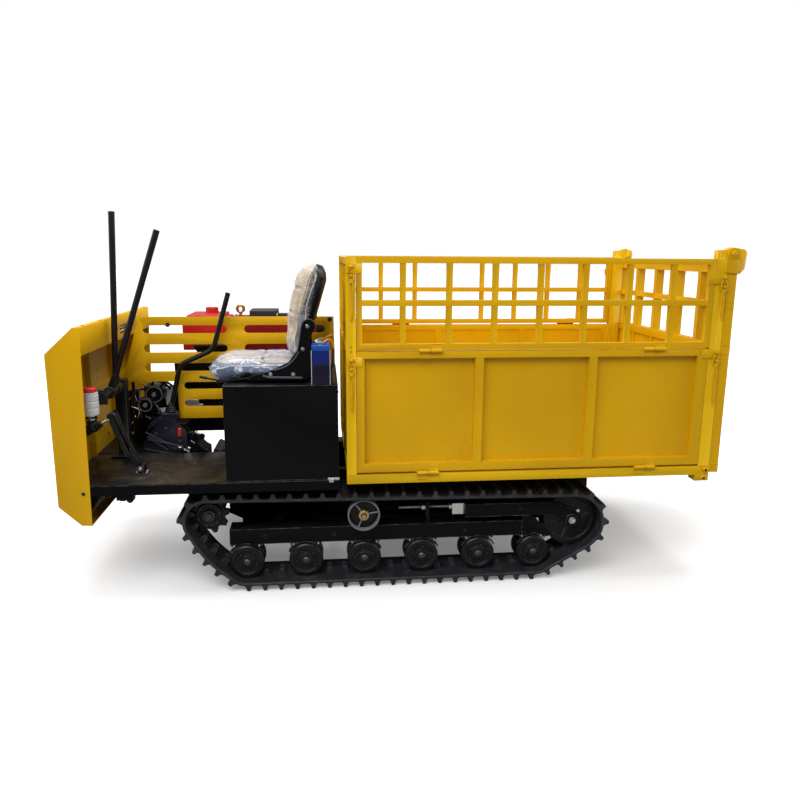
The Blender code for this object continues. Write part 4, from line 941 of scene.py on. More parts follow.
def track_frame_details(side_name, side):
    """Arched straps and bolts over the road wheels, and the beam's welds, lips and carrier boss."""
    straps, bolts, welds = Shape(), Shape(), Shape()
    outer = side * 0.490
    rearmost = max(place[0] for place in ROLLER_PLACES)
    for x, z in ROLLER_PLACES:
        # The last strap stops short, so that the idler clears it when its screw is slack.
        band_end, rear_foot = (50, 0.036) if x == rearmost else (28, 0.058)
        band = arc((x, z), 0.0925, band_end, 152, 14) + arc((x, z), 0.0865, 152, band_end, 14)
        straps.slab(band, "Y", (side * 0.468, side * 0.496))
        for offset in (-0.058, rear_foot):
            straps.block(
                (x + offset - 0.014, x + offset + 0.014), (side * 0.462, side * 0.497), (0.1965, 0.2035)
            )
            bolts.bolt((x + offset, side * 0.4795, 0.1970), (0, 0, -1), 0.0062, 0.7)
            bolts.bar((x + offset, side * 0.494, 0.200), (x + offset, side * 0.4995, 0.200), 0.0046, 12)
        beads(welds, (x - 0.030, side * 0.4555, 0.1990), (x + 0.030, side * 0.4555, 0.1990), 0.0025, 3)
    for x in (-0.550, 0.450):
        beads(welds, (x - 0.026, side * 0.3885, 0.262), (x + 0.026, side * 0.3885, 0.262), 0.0028, 5)
    beads(welds, (0.600, side * 0.4905, 0.210), (0.600, side * 0.4905, 0.272), 0.0026, 6)
    show(f"roller_straps_{side_name}", straps, "chassis", "chassis", 0.0008)
    show(f"roller_strap_bolts_{side_name}", bolts, "zinc", "chassis", 0.0004)
    show(f"beam_welds_{side_name}", welds, "chassis", "chassis")
    lip = Shape()
    for height in (BEAM_LOW + 0.001, BEAM_HIGH - 0.001):
        lip.tube(
            [
                (-0.811, outer - side * 0.001, height), (-0.2, outer - side * 0.001, height),
                (0.598, outer - side * 0.001, height),
            ],
            0.0018, 8,
        )
    for x in (-0.650, -0.330, 0.300):
        lip.bar((x, outer - side * 0.001, 0.240), (x, outer + side * 0.0012, 0.240), 0.0085, 20)
    show(f"beam_lips_{side_name}", lip, "chassis", "chassis")
    carrier = Shape().bar(
        (CARRIER[0], side * 0.480, CARRIER[1]), (CARRIER[0], side * 0.496, CARRIER[1]), 0.020, 28
    )
    beads(
        carrier, (CARRIER[0] - 0.035, side * 0.4815, 0.279), (CARRIER[0] + 0.035, side * 0.4815, 0.279),
        0.0025, 8,
    )
    show(f"carrier_boss_{side_name}", carrier, "chassis", "chassis", 0.0006)


def screw_thread(shape, start, end, radius, pitch):
    """Close rings along a rod, which read as its thread."""
    start, end = Vector(start), Vector(end)
    count = int((end - start).length / pitch)
    route, radii = [], []
    for step in range(count * 2 + 1):
        route.append(start.lerp(end, step / (count * 2)))
        radii.append(radius * (1.0 if step % 2 else 0.86))
    shape.tube(route, radius, 14, radii=radii)


def tension_details(side_name, side):
    body = f"tension_yoke_{side_name}"
    middle = side * 0.455
    thread = Shape()
    screw_thread(thread, (0.236, middle, 0.350), (-0.022, middle, 0.350), 0.0096, 0.0042)
    show(f"tension_screw_{side_name}", thread, "steel", body)
    nuts = Shape()
    for x in (0.096, 0.228):
        nuts.bar((x - 0.008, middle, 0.350), (x + 0.008, middle, 0.350), 0.0172, 6)
        nuts.bar((x + 0.008, middle, 0.350), (x + 0.0105, middle, 0.350), 0.0190, 24)
    show(f"tension_nuts_{side_name}", nuts, "zinc", body, 0.0009)
    block = Shape().block((0.232, 0.302), (side * 0.424, side * 0.4865), (0.3165, 0.3735))
    block.block((0.296, 0.310), (side * 0.420, side * 0.495), (0.312, 0.3745))
    show(f"tension_block_{side_name}", block, "bright", body, 0.0030)
    bar = Shape()
    for height in (0.3115, 0.3725):
        bar.tube(
            [(0.300, side * 0.5125, height), (0.45, side * 0.5125, height), (0.600, side * 0.5125, height)],
            0.0012, 8,
        )
    for x in (0.330, 0.560):
        bar.bar((x, side * 0.511, 0.342), (x, side * 0.5135, 0.342), 0.0065, 16)
    x, z = IDLER
    cap = ((0.0, 0.520), (0.030, 0.520), (0.0335, 0.5165), (0.0335, 0.511), (0.0, 0.511))
    bar.turned(cap, side, (x, z), 40, closed=False)
    show(f"tension_bar_trim_{side_name}", bar, "chassis", body)
    nut = Shape().bolt((x, side * 0.5195, z), (0, side, 0), 0.0135, 0.55)
    nut.bolt((x + 0.030, side * 0.5115, z + 0.046), (0, side, 0), 0.0065, 0.6)
    show(f"idler_axle_nut_{side_name}", nut, "bright", body, 0.0007)


def undercarriage():
    for side_name, side in SIDES:
        track(side_name, side)
        for index, place in enumerate(ROLLER_PLACES, 1):
            road_roller(side_name, side, index, place)
        sprocket(side_name, side)
        idler(side_name, side)
        carrier_wheel(side_name, side)
        track_frame_details(side_name, side)
        tension_details(side_name, side)


# Driver's platform, cowl and guard

PLATE_TOP, PLATE_BASE = 0.543, 0.494
HALF_WIDTH = 0.600
COWL_REAR, COWL_FRONT = -1.370, -1.517


def platform_details():
    edge = -0.595
    trim = Shape()
    beads(
        trim, (-1.500, edge + 0.0005, PLATE_TOP - 0.0045), (-0.310, edge + 0.0005, PLATE_TOP - 0.0045),
        0.0016, 11,
    )
    for x in (-1.470, -1.420, -0.740, -0.690):
        beads(trim, (x, -0.553, PLATE_BASE + 0.003), (x, -0.553, PLATE_TOP - 0.008), 0.0022, 12)
    for x in (-1.505, -1.323):
        beads(trim, (x + 0.004, -0.561, 0.4945), (x + 0.030, -0.561, 0.4945), 0.0024, 13)
    show("platform_welds", trim, "satin", "chassis")
    tag = Shape().block((-0.356, -0.304), (-0.6005, -0.5935), (PLATE_TOP - 0.002, PLATE_TOP + 0.010))
    tag.block((-0.350, -0.330), (-0.603, -0.598), (PLATE_TOP - 0.012, PLATE_TOP + 0.006))
    tag.bar((-0.3165, -0.6000, PLATE_TOP + 0.004), (-0.3165, -0.6030, PLATE_TOP + 0.004), 0.0035, 14)
    show("seat_base_catch", tag, "zinc", "chassis", 0.0012)
    rail_bolt = Shape().bar((-1.222, -0.575, 0.474), (-1.222, -0.575, 0.460), 0.0150, 6)
    rail_bolt.bar((-1.222, -0.575, 0.462), (-1.222, -0.575, 0.455), 0.0090, 20)
    rail_bolt.block((-1.262, -1.238), (-0.588, -0.562), (0.466, 0.474))
    show("platform_rail_bolt", rail_bolt, "satin", "chassis", 0.0014)
    for side_name, side in SIDES:
        strap = Shape().slab(
            (
                (-1.500, 0.490), (-1.330, 0.490), (-1.378, 0.424), (-1.388, 0.424), (-1.352, 0.482),
                (-1.500, 0.482),
            ),
            "Y", (side * 0.5435, side * 0.5615),
        )
        show(f"gusset_edge_{side_name}", strap, "dirt_brown", "chassis", 0.0010)


def bolts_on(shape, places, out, size, head=0.6):
    for place in places:
        shape.bolt(place, out, size, head)


def cowl_details():
    face = HALF_WIDTH
    dark, seams, inner = Shape(), Shape(), Shape()
    for side in (-1, 1):
        bolts_on(dark, [(-1.409, side * face, 0.508)], (0, side, 0), 0.0068, 0.35)
    for y in (-0.515, -0.260, 0.055, 0.330, 0.560):
        dark.bolt((-1.384, y, 1.2270), (0, 0, 1), 0.0045, 0.4)
    for y in (-0.540, -0.330, -0.110, 0.160, 0.420):
        dark.bolt((COWL_FRONT + 0.0045, y, 0.590), (1, 0, 0), 0.0062, 0.5)
    show("cowl_bolts", dark, "satin", "chassis", 0.0004)
    for side in (-1, 1):
        beads(
            seams, (-1.398, side * (face - 0.0045), 1.2215),
            (COWL_FRONT + 0.005, side * (face - 0.0045), 1.1145), 0.0022, 21,
        )
        beads(
            seams, (COWL_FRONT + 0.0045, side * (face - 0.0045), 1.105),
            (COWL_FRONT + 0.0045, side * (face - 0.0045), 0.470), 0.0022, 22,
        )
    for y in (-0.142, 0.290):
        beads(seams, (COWL_REAR + 0.0005, y, 1.112), (COWL_REAR + 0.0005, y, 1.222), 0.0016, 23)
    show("cowl_seam_welds", seams, "yellow_painted_brighter", "chassis")
    inner.block((COWL_REAR - 0.010, COWL_REAR - 0.0045), (-0.144, -0.120), (1.112, 1.222))
    inner.block((COWL_FRONT + 0.0045, COWL_FRONT + 0.0085), (-0.590, 0.590), (0.850, 0.876))
    inner.block((COWL_FRONT + 0.0045, COWL_FRONT + 0.0300), (-0.130, -0.126), (0.470, 1.100))
    inner.block((COWL_FRONT + 0.0045, COWL_FRONT + 0.0300), (0.260, 0.264), (0.470, 1.100))
    show("cowl_stiffeners", inner, "yellow_painted_brighter", "chassis", 0.0010)
    springs = Shape()
    for z in (1.146, 1.163):
        springs.bar((COWL_REAR - 0.010, -0.006, z), (COWL_REAR - 0.010, 0.136, z), 0.0026, 12)
        coil = []
        for step in range(150):
            angle = math.tau * step / 10
            coil.append(
                (
                    COWL_REAR - 0.010 + 0.0056 * math.cos(angle), 0.014 + step * 0.00068,
                    z + 0.0056 * math.sin(angle),
                )
            )
        springs.tube(coil, 0.0012, 6)
    show("cowl_window_springs", springs, "zinc", "chassis")
    conduit = Shape()
    route = smooth_route(
        [
            (-1.402, -0.580, 0.952), (-1.4025, -0.5815, 0.985), (-1.400, -0.583, 1.020),
            (-1.394, -0.583, 1.034),
        ],
        16,
    )
    conduit.tube(route, 0.009, 16, radii=[0.0098 if step % 4 < 2 else 0.0072 for step in range(len(route))])
    conduit.block((-1.416, -1.388), (-0.5962, -0.582), (0.964, 0.969))
    show("cowl_ribbed_conduit", conduit, "hose", "chassis")


def guard_details():
    dark, welds = Shape(), Shape()
    bolts_on(dark, [(-1.140, 0.0, 1.180), (-0.333, 0.0, 1.205)], (0, -1, 0), 0.0092, 0.55)
    bolts_on(dark, [(-1.140, 0.0040, 1.180)], (0, 1, 0), 0.0080, 0.6)
    bolts_on(dark, [(-0.333, 0.0335, 0.640), (-0.333, 0.0335, 0.580)], (0, 1, 0), 0.0075, 0.6)
    show("guard_bolts", dark, "satin", "chassis", 0.0005)
    for x in (-0.352, -0.314):
        beads(welds, (x, 0.0052, 0.705), (x, 0.0052, 1.195), 0.0018, 31)
    beads(welds, (-0.352, 0.018, PLATE_TOP + 0.001), (-0.314, 0.018, PLATE_TOP + 0.001), 0.0030, 32)
    show("guard_welds", welds, "yellow_painted_brighter", "chassis")


def seat_base_details():
    front, near = -0.802, -0.593
    folds = Shape()
    folds.tube(
        [
            (front + 0.002, near - 0.0004, 0.9715), (-0.55, near - 0.0004, 0.9715),
            (-0.308, near - 0.0004, 0.9715),
        ],
        0.0016, 8,
    )
    folds.tube(
        [
            (front - 0.0004, near + 0.002, 0.9715), (front - 0.0004, -0.30, 0.9715),
            (front - 0.0004, -0.014, 0.9715),
        ],
        0.0016, 8,
    )
    beads(
        folds, (front + 0.003, near - 0.0002, PLATE_TOP + 0.0015),
        (-0.308, near - 0.0002, PLATE_TOP + 0.0015), 0.0020, 41,
    )
    beads(
        folds, (front - 0.0002, near + 0.004, PLATE_TOP + 0.0015),
        (front - 0.0002, -0.016, PLATE_TOP + 0.0015), 0.0020, 42,
    )
    show("seat_base_folds", folds, "black", "chassis")
    screws = Shape()
    bolts_on(
        screws, [(front, y, z) for y in (-0.555, -0.050) for z in (0.585, 0.935)], (-1, 0, 0), 0.0055, 0.3
    )
    bolts_on(
        screws, [(-0.306, y, z) for y in (-0.555, -0.050) for z in (0.585, 0.935)], (1, 0, 0), 0.0055, 0.3
    )
    show("seat_base_screws", screws, "black", "chassis", 0.0004)


# Levers, pedal and brake cylinder


LEVER_SHAFT = (-1.350, 0.900)
GEAR_PIVOT = (-1.140, 0.735)
PEDAL_PIVOT = (-1.200, 0.572)


def lever_tube(route, radius):
    """A lever's pipe: solid, with a short hollow end piece so that the cut end reads as pipe."""
    route = [Vector(point) for point in route]
    end = route[-1]
    along = (end - route[-2]).normalized()
    pipe = Shape().tube([*route[:-1], end - along * 0.020], radius, 28)
    rim = (
        (radius - 0.0022, -0.0205), (radius, -0.0205), (radius, -0.0008), (radius - 0.0008, 0.0),
        (radius - 0.0022, 0.0),
    )
    collar = Shape().lathe(rim, (0, 0, 0), "Z", 28)
    turn = along.to_track_quat("Z", "Y").to_matrix().to_4x4()
    bmesh.ops.transform(collar.bm, matrix=Matrix.Translation(end) @ turn, verts=collar.bm.verts)
    scratch = bpy.data.meshes.new("scratch")
    collar.bm.to_mesh(scratch)
    collar.bm.free()
    pipe.bm.from_mesh(scratch)
    bpy.data.meshes.remove(scratch)
    return pipe


def levers():
    x, z = LEVER_SHAFT
    for name, y, top in (("left", -0.300, (-1.099, 1.632)), ("right", -0.215, (-1.312, 1.715))):
        body = f"steering_lever_{name}"
        foot = Vector((x, y, z))
        along = (Vector((top[0], y, top[1])) - foot).normalized()
        pipe = lever_tube([foot + along * 0.0245, foot + along * 0.2, Vector((top[0], y, top[1]))], 0.014)
        sleeve = (
            (0.0205, -0.028), (0.026, -0.028), (0.0275, -0.026), (0.0275, 0.026), (0.026, 0.028),
            (0.0205, 0.028),
        )
        pipe.lathe([(r, y + s) for r, s in sleeve], (x, 0, z), "Y", 40)
        weld = [
            foot
            + along * 0.0280
            + Vector((along.z, 0, -along.x)) * 0.0145 * math.cos(a)
            + Vector((0, 0.0145 * math.sin(a), 0))
            for a in turns(40)
        ]
        pipe.tube(weld, 0.0026, 7, loop=True, radii=[0.0026 + 0.0007 * (step % 2) for step in range(40)])
        side_plate = Vector((along.z, 0, -along.x))
        for offset in (-0.0160, 0.0160):
            corners = [foot + along * 0.022 + side_plate * 0.016, foot + along * 0.022 - side_plate * 0.016,
                       foot + along * 0.085 - side_plate * 0.010, foot + along * 0.085 + side_plate * 0.010]
            pipe.slab([(c.x, c.z) for c in corners], "Y", (y + offset - 0.002, y + offset + 0.002))
        show(f"steering_pipe_{name}", pipe, "satin", body, 0.0007, (body,))
    y = -0.045
    route = rounded(
        (
            (GEAR_PIVOT[0], y, 0.722), (-1.132, y, 0.782), (-1.080, y, 0.986), (-0.915, y, 1.059),
            (-0.831, y, 1.341),
        ),
        0.035, 10,
    )
    pipe = lever_tube(route, 0.0125)
    pipe.ball((GEAR_PIVOT[0], y, GEAR_PIVOT[1]), 0.0165, fine=24)
    show("gear_lever_pipe", pipe, "satin", "gear_lever", 0.0005, ("gear_lever",))
    boot, profile = Shape(), [(0.0, 0.744)]
    for ring in range(5):
        low, wide = 0.745 + ring * 0.0095, 0.0250 - ring * 0.0024
        profile += [
            (wide - 0.0035, low), (wide, low + 0.0032), (wide, low + 0.0055), (wide - 0.0040, low + 0.0090)
        ]
    profile.append((0.0, 0.795))
    boot.lathe(profile, (GEAR_PIVOT[0] + 0.004, y, 0), "Z", 36, closed=False)
    show("gear_lever_boot", boot, "hose", "gear_lever", 0.0008)


def lever_stand_details():
    x, z = LEVER_SHAFT
    trim = Shape()
    for y, size in (
        (-0.428, 0.0215), (-0.3335, 0.0250), (-0.2665, 0.0250), (-0.2485, 0.0250), (-0.1815, 0.0250)
    ):
        trim.bar((x, y - 0.0028, z), (x, y + 0.0028, z), size, 32)
    bolts_on(
        trim, [(x + dx, y, PLATE_TOP + 0.009) for dx in (-0.046, 0.046) for y in (-0.163, -0.105)], (0, 0, 1),
        0.0070,
    )
    bolts_on(trim, [(COWL_FRONT + 0.055, -0.4255, z + dz) for dz in (-0.018, 0.016)], (0, -1, 0), 0.0062)
    beads(trim, (x - 0.024, -0.1505, PLATE_TOP + 0.011), (x + 0.024, -0.1505, PLATE_TOP + 0.011), 0.0030, 51)
    beads(trim, (x - 0.022, -0.1505, z - 0.006), (x + 0.022, -0.1505, z - 0.006), 0.0030, 52)
    show("lever_stand_trim", trim, "satin", "chassis", 0.0006)
    nipples = Shape()
    for y in (-0.300, -0.215):
        nipples.bar((x - 0.027, y, z), (x - 0.034, y, z), 0.0040, 6)
        nipples.ball((x - 0.036, y, z), 0.0030, fine=12)
    show("lever_grease_nipples", nipples, "zinc", "chassis")


def brake_details():
    px, pz = PEDAL_PIVOT
    y = -0.425
    # A deep channel on edge, with grip bars across its face, on a bent arm.
    low, top = Vector((-1.262, 0, 0.640)), Vector((-1.327, 0, 0.828))
    along = (top - low).normalized()
    back = Vector((along.z, 0, -along.x))
    pedal = Shape()
    web = [low, top, top + back * 0.005, low + back * 0.005]
    pedal.slab([(c.x, c.z) for c in web], "Y", (y - 0.050, y + 0.045))
    for edge in (y - 0.050, y + 0.041):
        flange = [low, top, top + back * 0.022, low + back * 0.022]
        pedal.slab([(c.x, c.z) for c in flange], "Y", (edge, edge + 0.004))
    for step in range(9):
        spot = low.lerp(top, 0.08 + 0.84 * step / 8)
        pedal.bar((spot.x, y - 0.046, spot.z), (spot.x, y + 0.041, spot.z), 0.0030, 10)
    arm = (
        (-1.216, 0.571), (-1.196, 0.588), (-1.236, 0.650), (-1.300, 0.822), (-1.318, 0.830), (-1.262, 0.646)
    )
    pedal.slab(arm, "Y", (y - 0.018, y + 0.018))
    for edge in (y - 0.0175, y + 0.0175):
        pedal.tube([(-1.199, edge, 0.590), (-1.236, edge, 0.650), (-1.300, edge, 0.822)], 0.0032, 10)
    hub = (
        (0.0075, -0.018), (0.0135, -0.018), (0.0145, -0.0165), (0.0145, 0.0165), (0.0135, 0.018),
        (0.0075, 0.018),
    )
    pedal.lathe([(r, y + s) for r, s in hub], (px, 0, pz), "Y", 32)
    show("brake_pedal_channel", pedal, "satin", "brake_pedal", 0.0009, ("brake_pedal",))
    push = Shape().bar((-1.322, -0.463, 0.805), (-1.356, -0.463, 0.788), 0.0048, 16)
    screw_thread(push, (-1.326, -0.463, 0.803), (-1.346, -0.463, 0.793), 0.0058, 0.0022)
    push.bar((-1.318, -0.478, 0.807), (-1.318, -0.448, 0.807), 0.0050, 16)
    show("brake_pushrod", push, "zinc", "brake_pedal")
    foot = Shape()
    bolts_on(
        foot, [(px + dx, y + dy, PLATE_TOP + 0.006) for dx in (-0.021, 0.021) for dy in (-0.012, 0.012)],
        (0, 0, 1), 0.0058,
    )
    foot.bolt((px, y - 0.036, pz), (0, -1, 0), 0.0085, 0.5)
    show("pedal_bracket_bolts", foot, "bright", "chassis", 0.0004)

    cy = -0.463
    stem = Vector((-1.393, cy, 0.0))
    tank, profile = Shape(), [(0.0, 0.8285), (0.0335, 0.8285), (0.0355, 0.8310)]
    for ring in range(3):
        base = 0.836 + ring * 0.030
        profile += [(0.0360, base), (0.0360, base + 0.0215), (0.0343, base + 0.0240), (0.0343, base + 0.0275)]
    profile += [(0.0355, 0.9285), (0.0330, 0.9300), (0.0, 0.9300)]
    tank.lathe(profile, stem, "Z", 56, closed=False)
    show("brake_fluid_tank", tank, "white_plastic", "chassis", 0.0006, ("brake_cylinder",))
    cap = Shape().lathe(
        [(0.0, 0.929), (0.0300, 0.929), (0.0300, 0.947), (0.0265, 0.951), (0.0, 0.951)], stem, "Z", 48,
        closed=False,
    )
    for angle in turns(28):
        x, yy = stem.x + 0.0300 * math.cos(angle), cy + 0.0300 * math.sin(angle)
        cap.bar((x, yy, 0.931), (x, yy, 0.947), 0.0012, 6)
    show("brake_fluid_cap", cap, "red_plastic", "chassis", 0.0006)
    body = Shape()
    body.bar((-1.368, cy, 0.782), (-1.440, cy, 0.746), 0.0210, 36)
    body.bar((-1.382, cy, 0.775), (-1.389, cy, 0.7715), 0.0245, 36)
    body.bar((-1.418, cy, 0.757), (-1.424, cy, 0.754), 0.0245, 36)
    body.bar((-1.393, cy, 0.765), (-1.393, cy, 0.806), 0.0215, 32)
    body.bar((-1.393, cy, 0.806), (-1.393, cy, 0.832), 0.0240, 32)
    body.block((COWL_FRONT + 0.0045, -1.425), (cy - 0.030, cy + 0.030), (0.735, 0.760))
    body.block((COWL_FRONT + 0.0045, -1.504), (cy - 0.040, cy + 0.040), (0.640, 0.800))
    for z in (0.655, 0.785):
        bolts_on(body, [(-1.504, cy + dy, z) for dy in (-0.028, 0.028)], (1, 0, 0), 0.0060)
    show("brake_cylinder_body", body, "satin", "chassis", 0.0009)
    clip = Shape()
    for height in (0.8115, 0.8265):
        clip.lathe(
            [
                (0.0240, height - 0.0028), (0.0258, height - 0.0028), (0.0258, height + 0.0028),
                (0.0240, height + 0.0028),
            ],
            stem, "Z", 40,
        )
    clip.block((-1.397, -1.389), (cy - 0.0345, cy - 0.024), (0.8230, 0.8300))
    clip.bar((-1.3930, cy - 0.036, 0.8265), (-1.3930, cy - 0.022, 0.8265), 0.0026, 12)
    show("brake_tank_clips", clip, "bright", "chassis", 0.0004)
    bellows, profile = Shape(), [(0.0, -0.017)]
    for ring in range(4):
        profile += [
            (0.0125, -0.016 + ring * 0.004), (0.0150, -0.0145 + ring * 0.004),
            (0.0130, -0.0125 + ring * 0.004),
        ]
    profile.append((0.0, 0.0))
    bellows.lathe(profile, (0, 0, 0), "Z", 28, closed=False)
    lean = Vector((-0.072, 0, -0.036)).normalized().to_track_quat("Z", "Y").to_matrix().to_4x4()
    bmesh.ops.transform(
        bellows.bm, matrix=Matrix.Translation((-1.3665, cy, 0.7812)) @ lean, verts=bellows.bm.verts
    )
    show("brake_pushrod_boot", bellows, "hose", "chassis")


# Load box


LATCHES = {
    "lower": (("front", -0.248, 1.082, 0.859), ("rear", 1.420, 1.104, 0.862)),
    "upper": (("front", -0.248, 1.482, 1.258), ("rear", 1.424, 1.440, 1.257)),
}
HINGE_OUT = HALF_WIDTH + 0.009
KNUCKLES = (0.096, 1.118)
GATE_FRONT, GATE_REAR, SPLIT, BOX_BASE, BOX_TOP, RAIL = -0.225, 1.381, 1.122, 0.520, 1.522, 0.042
DIVIDERS = (0.320, 0.842)


def latch(name, side, x, z, low):
    """A wire link over the peg, and a long handle bent from one wire."""
    y = side * HINGE_OUT
    shape = Shape().lathe(
        [
            (0.0026, -0.0065), (0.0050, -0.0065), (0.0054, -0.005), (0.0054, 0.005), (0.0050, 0.0065),
            (0.0026, 0.0065),
        ],
        (x, y, z), "X", 20,
    )
    wide = 0.0125
    loop = smooth_route([
        (x - 0.003, y, z - 0.004), (x - wide, y, z - 0.024), (x - wide, y, z - 0.052), (x, y, z - 0.064),
        (x + wide, y, z - 0.052), (x + wide, y, z - 0.024), (x + 0.003, y, z - 0.004),
    ], 7)
    shape.tube(loop, 0.0025, 12)
    mid = (z - 0.060 + low) / 2
    outer = smooth_route(
        [
            (x - 0.0036, y, z - 0.052), (x - 0.0068, y, z - 0.075), (x - 0.0058, y, mid),
            (x - 0.0048, y, low + 0.020), (x, y, low), (x + 0.0048, y, low + 0.020), (x + 0.0058, y, mid),
            (x + 0.0068, y, z - 0.075), (x + 0.0036, y, z - 0.052),
        ],
        7,
    )
    shape.tube(outer, 0.0024, 12)
    shape.bar((x - 0.0060, y, z - 0.058), (x + 0.0060, y, z - 0.058), 0.0040, 16)
    shape.tube([(x, y, z - 0.090), (x, y, mid), (x, y, low + 0.012)], 0.0036, 10)
    shape.ball((x, y, z - 0.0665), 0.0052, (1, 0.75, 1.2), 16)
    show(f"{name}_wire", shape, "yellow", name, 0.0, (name,))


def hinges(side_name, side):
    """Smooth rolled knuckles over each hinge half, with the leaf's welds."""
    y = side * HINGE_OUT
    for level, z, fixed, moving, shift in (
        ("lower", BOX_BASE + 0.047, "load_box", f"lower_gate_{side_name}", 0.0),
        ("upper", SPLIT, f"lower_gate_{side_name}", f"mesh_gate_{side_name}", 0.004),
    ):
        for body, step in ((fixed, 0.0), (moving, 0.051)):
            shape = Shape()
            for start in KNUCKLES:
                low = -0.052 + start + step + shift
                roll = (
                    (0.0, low + 0.0002), (0.0068, low + 0.0002), (0.0085, low + 0.0018),
                    (0.0085, low + 0.0462), (0.0068, low + 0.0478), (0.0, low + 0.0478),
                )
                shape.lathe([(r, x) for r, x in roll], (0, y, z), "X", 28, closed=False)
                down = 1 if body == moving else -1
                beads(
                    shape, (low + 0.003, side * (HALF_WIDTH + 0.0035), z + down * 0.029),
                    (low + 0.045, side * (HALF_WIDTH + 0.0035), z + down * 0.029), 0.0024, 61,
                )
            show(f"hinge_rolls_{level}_{side_name}_{'gate' if step else 'fixed'}", shape, "yellow", body)


def gate_welds(side_name, side):
    outer = side * HALF_WIDTH
    low, high = BOX_BASE + RAIL + 0.010, SPLIT - 0.004
    sheet = side * (HALF_WIDTH - 0.0290)
    lower = Shape()
    bays = (
        (GATE_FRONT + 0.034, DIVIDERS[0] - 0.019), (DIVIDERS[0] + 0.019, DIVIDERS[1] - 0.019),
        (DIVIDERS[1] + 0.019, GATE_REAR - 0.045),
    )
    for bay, (x0, x1) in enumerate(bays):
        for z in (low + 0.0385, high - 0.0305):
            for step in range(3):
                x = x0 + (x1 - x0) * (step + 0.5) / 3
                beads(lower, (x - 0.022, sheet, z), (x + 0.022, sheet, z), 0.0032, 70 + bay + step)
        for x in (x0 + 0.0005, x1 - 0.0005):
            for step in range(3):
                z = low + (high - low) * (step + 0.6) / 3.2
                beads(lower, (x, sheet, z - 0.020), (x, sheet, z + 0.020), 0.0032, 80 + bay + step)
        for x in (x0, x1):
            for z in (low + 0.038, high - 0.030):
                beads(
                    lower, (x - 0.001, outer - side * 0.001, z - 0.001),
                    (x + 0.001, outer - side * 0.030, z + 0.001), 0.0022, 90,
                )
    for x in DIVIDERS:
        for z in (low + 0.0375, high - 0.0295):
            beads(
                lower, (x - 0.018, outer - side * 0.0004, z), (x + 0.018, outer - side * 0.0004, z), 0.0013,
                91,
            )
    show(f"lower_gate_welds_{side_name}", lower, "yellow", f"lower_gate_{side_name}")
    upper = Shape()
    rails = (SPLIT + 0.004, 1.315, BOX_TOP - 0.025)
    spots = [GATE_FRONT, *(-0.024 - 0.0125 + 0.2027 * bar for bar in range(7)), GATE_REAR - 0.025]
    for x in spots[1:-1]:
        for z in (rails[0] + 0.0255, rails[1] - 0.0005, rails[1] + 0.0255, rails[2] - 0.0005):
            for edge in (0.0005, 0.0245):
                beads(
                    upper, (x + edge, outer - side * 0.002, z), (x + edge, outer - side * 0.022, z), 0.0019,
                    92,
                )
            beads(
                upper, (x + 0.002, outer - side * 0.0015, z), (x + 0.023, outer - side * 0.0015, z), 0.0014,
                93,
            )
    show(f"mesh_gate_welds_{side_name}", upper, "yellow", f"mesh_gate_{side_name}")


def box_details():
    welds, bolts, dark = Shape(), Shape(), Shape()
    for _, side in SIDES:
        outer = side * (HALF_WIDTH - 0.0008)
        for x0, x1 in ((-0.268, -0.229), (1.386, 1.437)):
            beads(
                welds, (x0, outer, BOX_BASE + RAIL + 0.0005), (x1, outer, BOX_BASE + RAIL + 0.0005), 0.0022,
                95,
            )
        for x in (-0.2265, 1.3825):
            beads(
                welds, (x, side * (HALF_WIDTH - 0.004), BOX_BASE + RAIL + 0.001),
                (x, side * 0.562, BOX_BASE + RAIL + 0.001), 0.0026, 96,
            )
        beads(welds, (-0.20, side * 0.5585, 0.5640), (1.37, side * 0.5585, 0.5640), 0.0030, 97)
        for x, z in ((1.417, 0.545), (1.410, 0.507)):
            dark.bar((x, side * 0.6125, z), (x, side * 0.6155, z), 0.0060, 20)
            bolts.lathe(
                [
                    (0.0065, side * 0.610), (0.0112, side * 0.610), (0.0112, side * 0.6145),
                    (0.0098, side * 0.616), (0.0065, side * 0.616),
                ],
                (x, 0, z), "Y", 32,
            )
        for x, z in ((1.455, 1.546),):
            bolts.lathe(
                [
                    (0.0, side * 0.6085), (0.0175, side * 0.6085), (0.0175, side * 0.6105),
                    (0.0110, side * 0.6110), (0.0105, side * 0.6150), (0.0085, side * 0.6165),
                    (0.0, side * 0.6165),
                ],
                (x, 0, z), "Y", 32, closed=False,
            )
        for _, x, z, _ in LATCHES["lower"] + LATCHES["upper"]:
            peg = z - 0.040
            bolts.lathe(
                [
                    (0.0, side * 0.5980), (0.0090, side * 0.5980), (0.0090, side * 0.6000),
                    (0.0054, side * 0.6010), (0.0054, side * 0.6150), (0.0040, side * 0.6170),
                    (0.0, side * 0.6170),
                ],
                (x, 0, peg), "Y", 20, closed=False,
            )
        for x, z in ((-0.248, 1.118), (-0.248, 1.138)):
            dark.bar((x, side * 0.5975, z), (x, side * 0.5992, z), 0.0032, 12)
    for y in (-0.2125, 0.2125):
        beads(welds, (-0.2705, y - 0.001, 0.57), (-0.2705, y - 0.001, 1.09), 0.0018, 98)
    for x in (0.130, 0.560, 0.990):
        beads(welds, (x + 0.0005, -0.55, 0.5575), (x + 0.0005, 0.55, 0.5575), 0.0022, 99)
    show("box_welds", welds, "yellow", "load_box")
    show("box_bolts", bolts, "yellow", "load_box", 0.0004)
    show("box_dark_holes", dark, "satin", "load_box")
    front = Shape()
    for z in (0.700, 0.960, 1.220, 1.400):
        front.tube([(-0.2585, -0.555, z), (-0.2585, 0.0, z), (-0.2585, 0.555, z)], 0.0035, 10)
    show("front_wall_swages", front, "yellow_painted_brighter", "load_box")


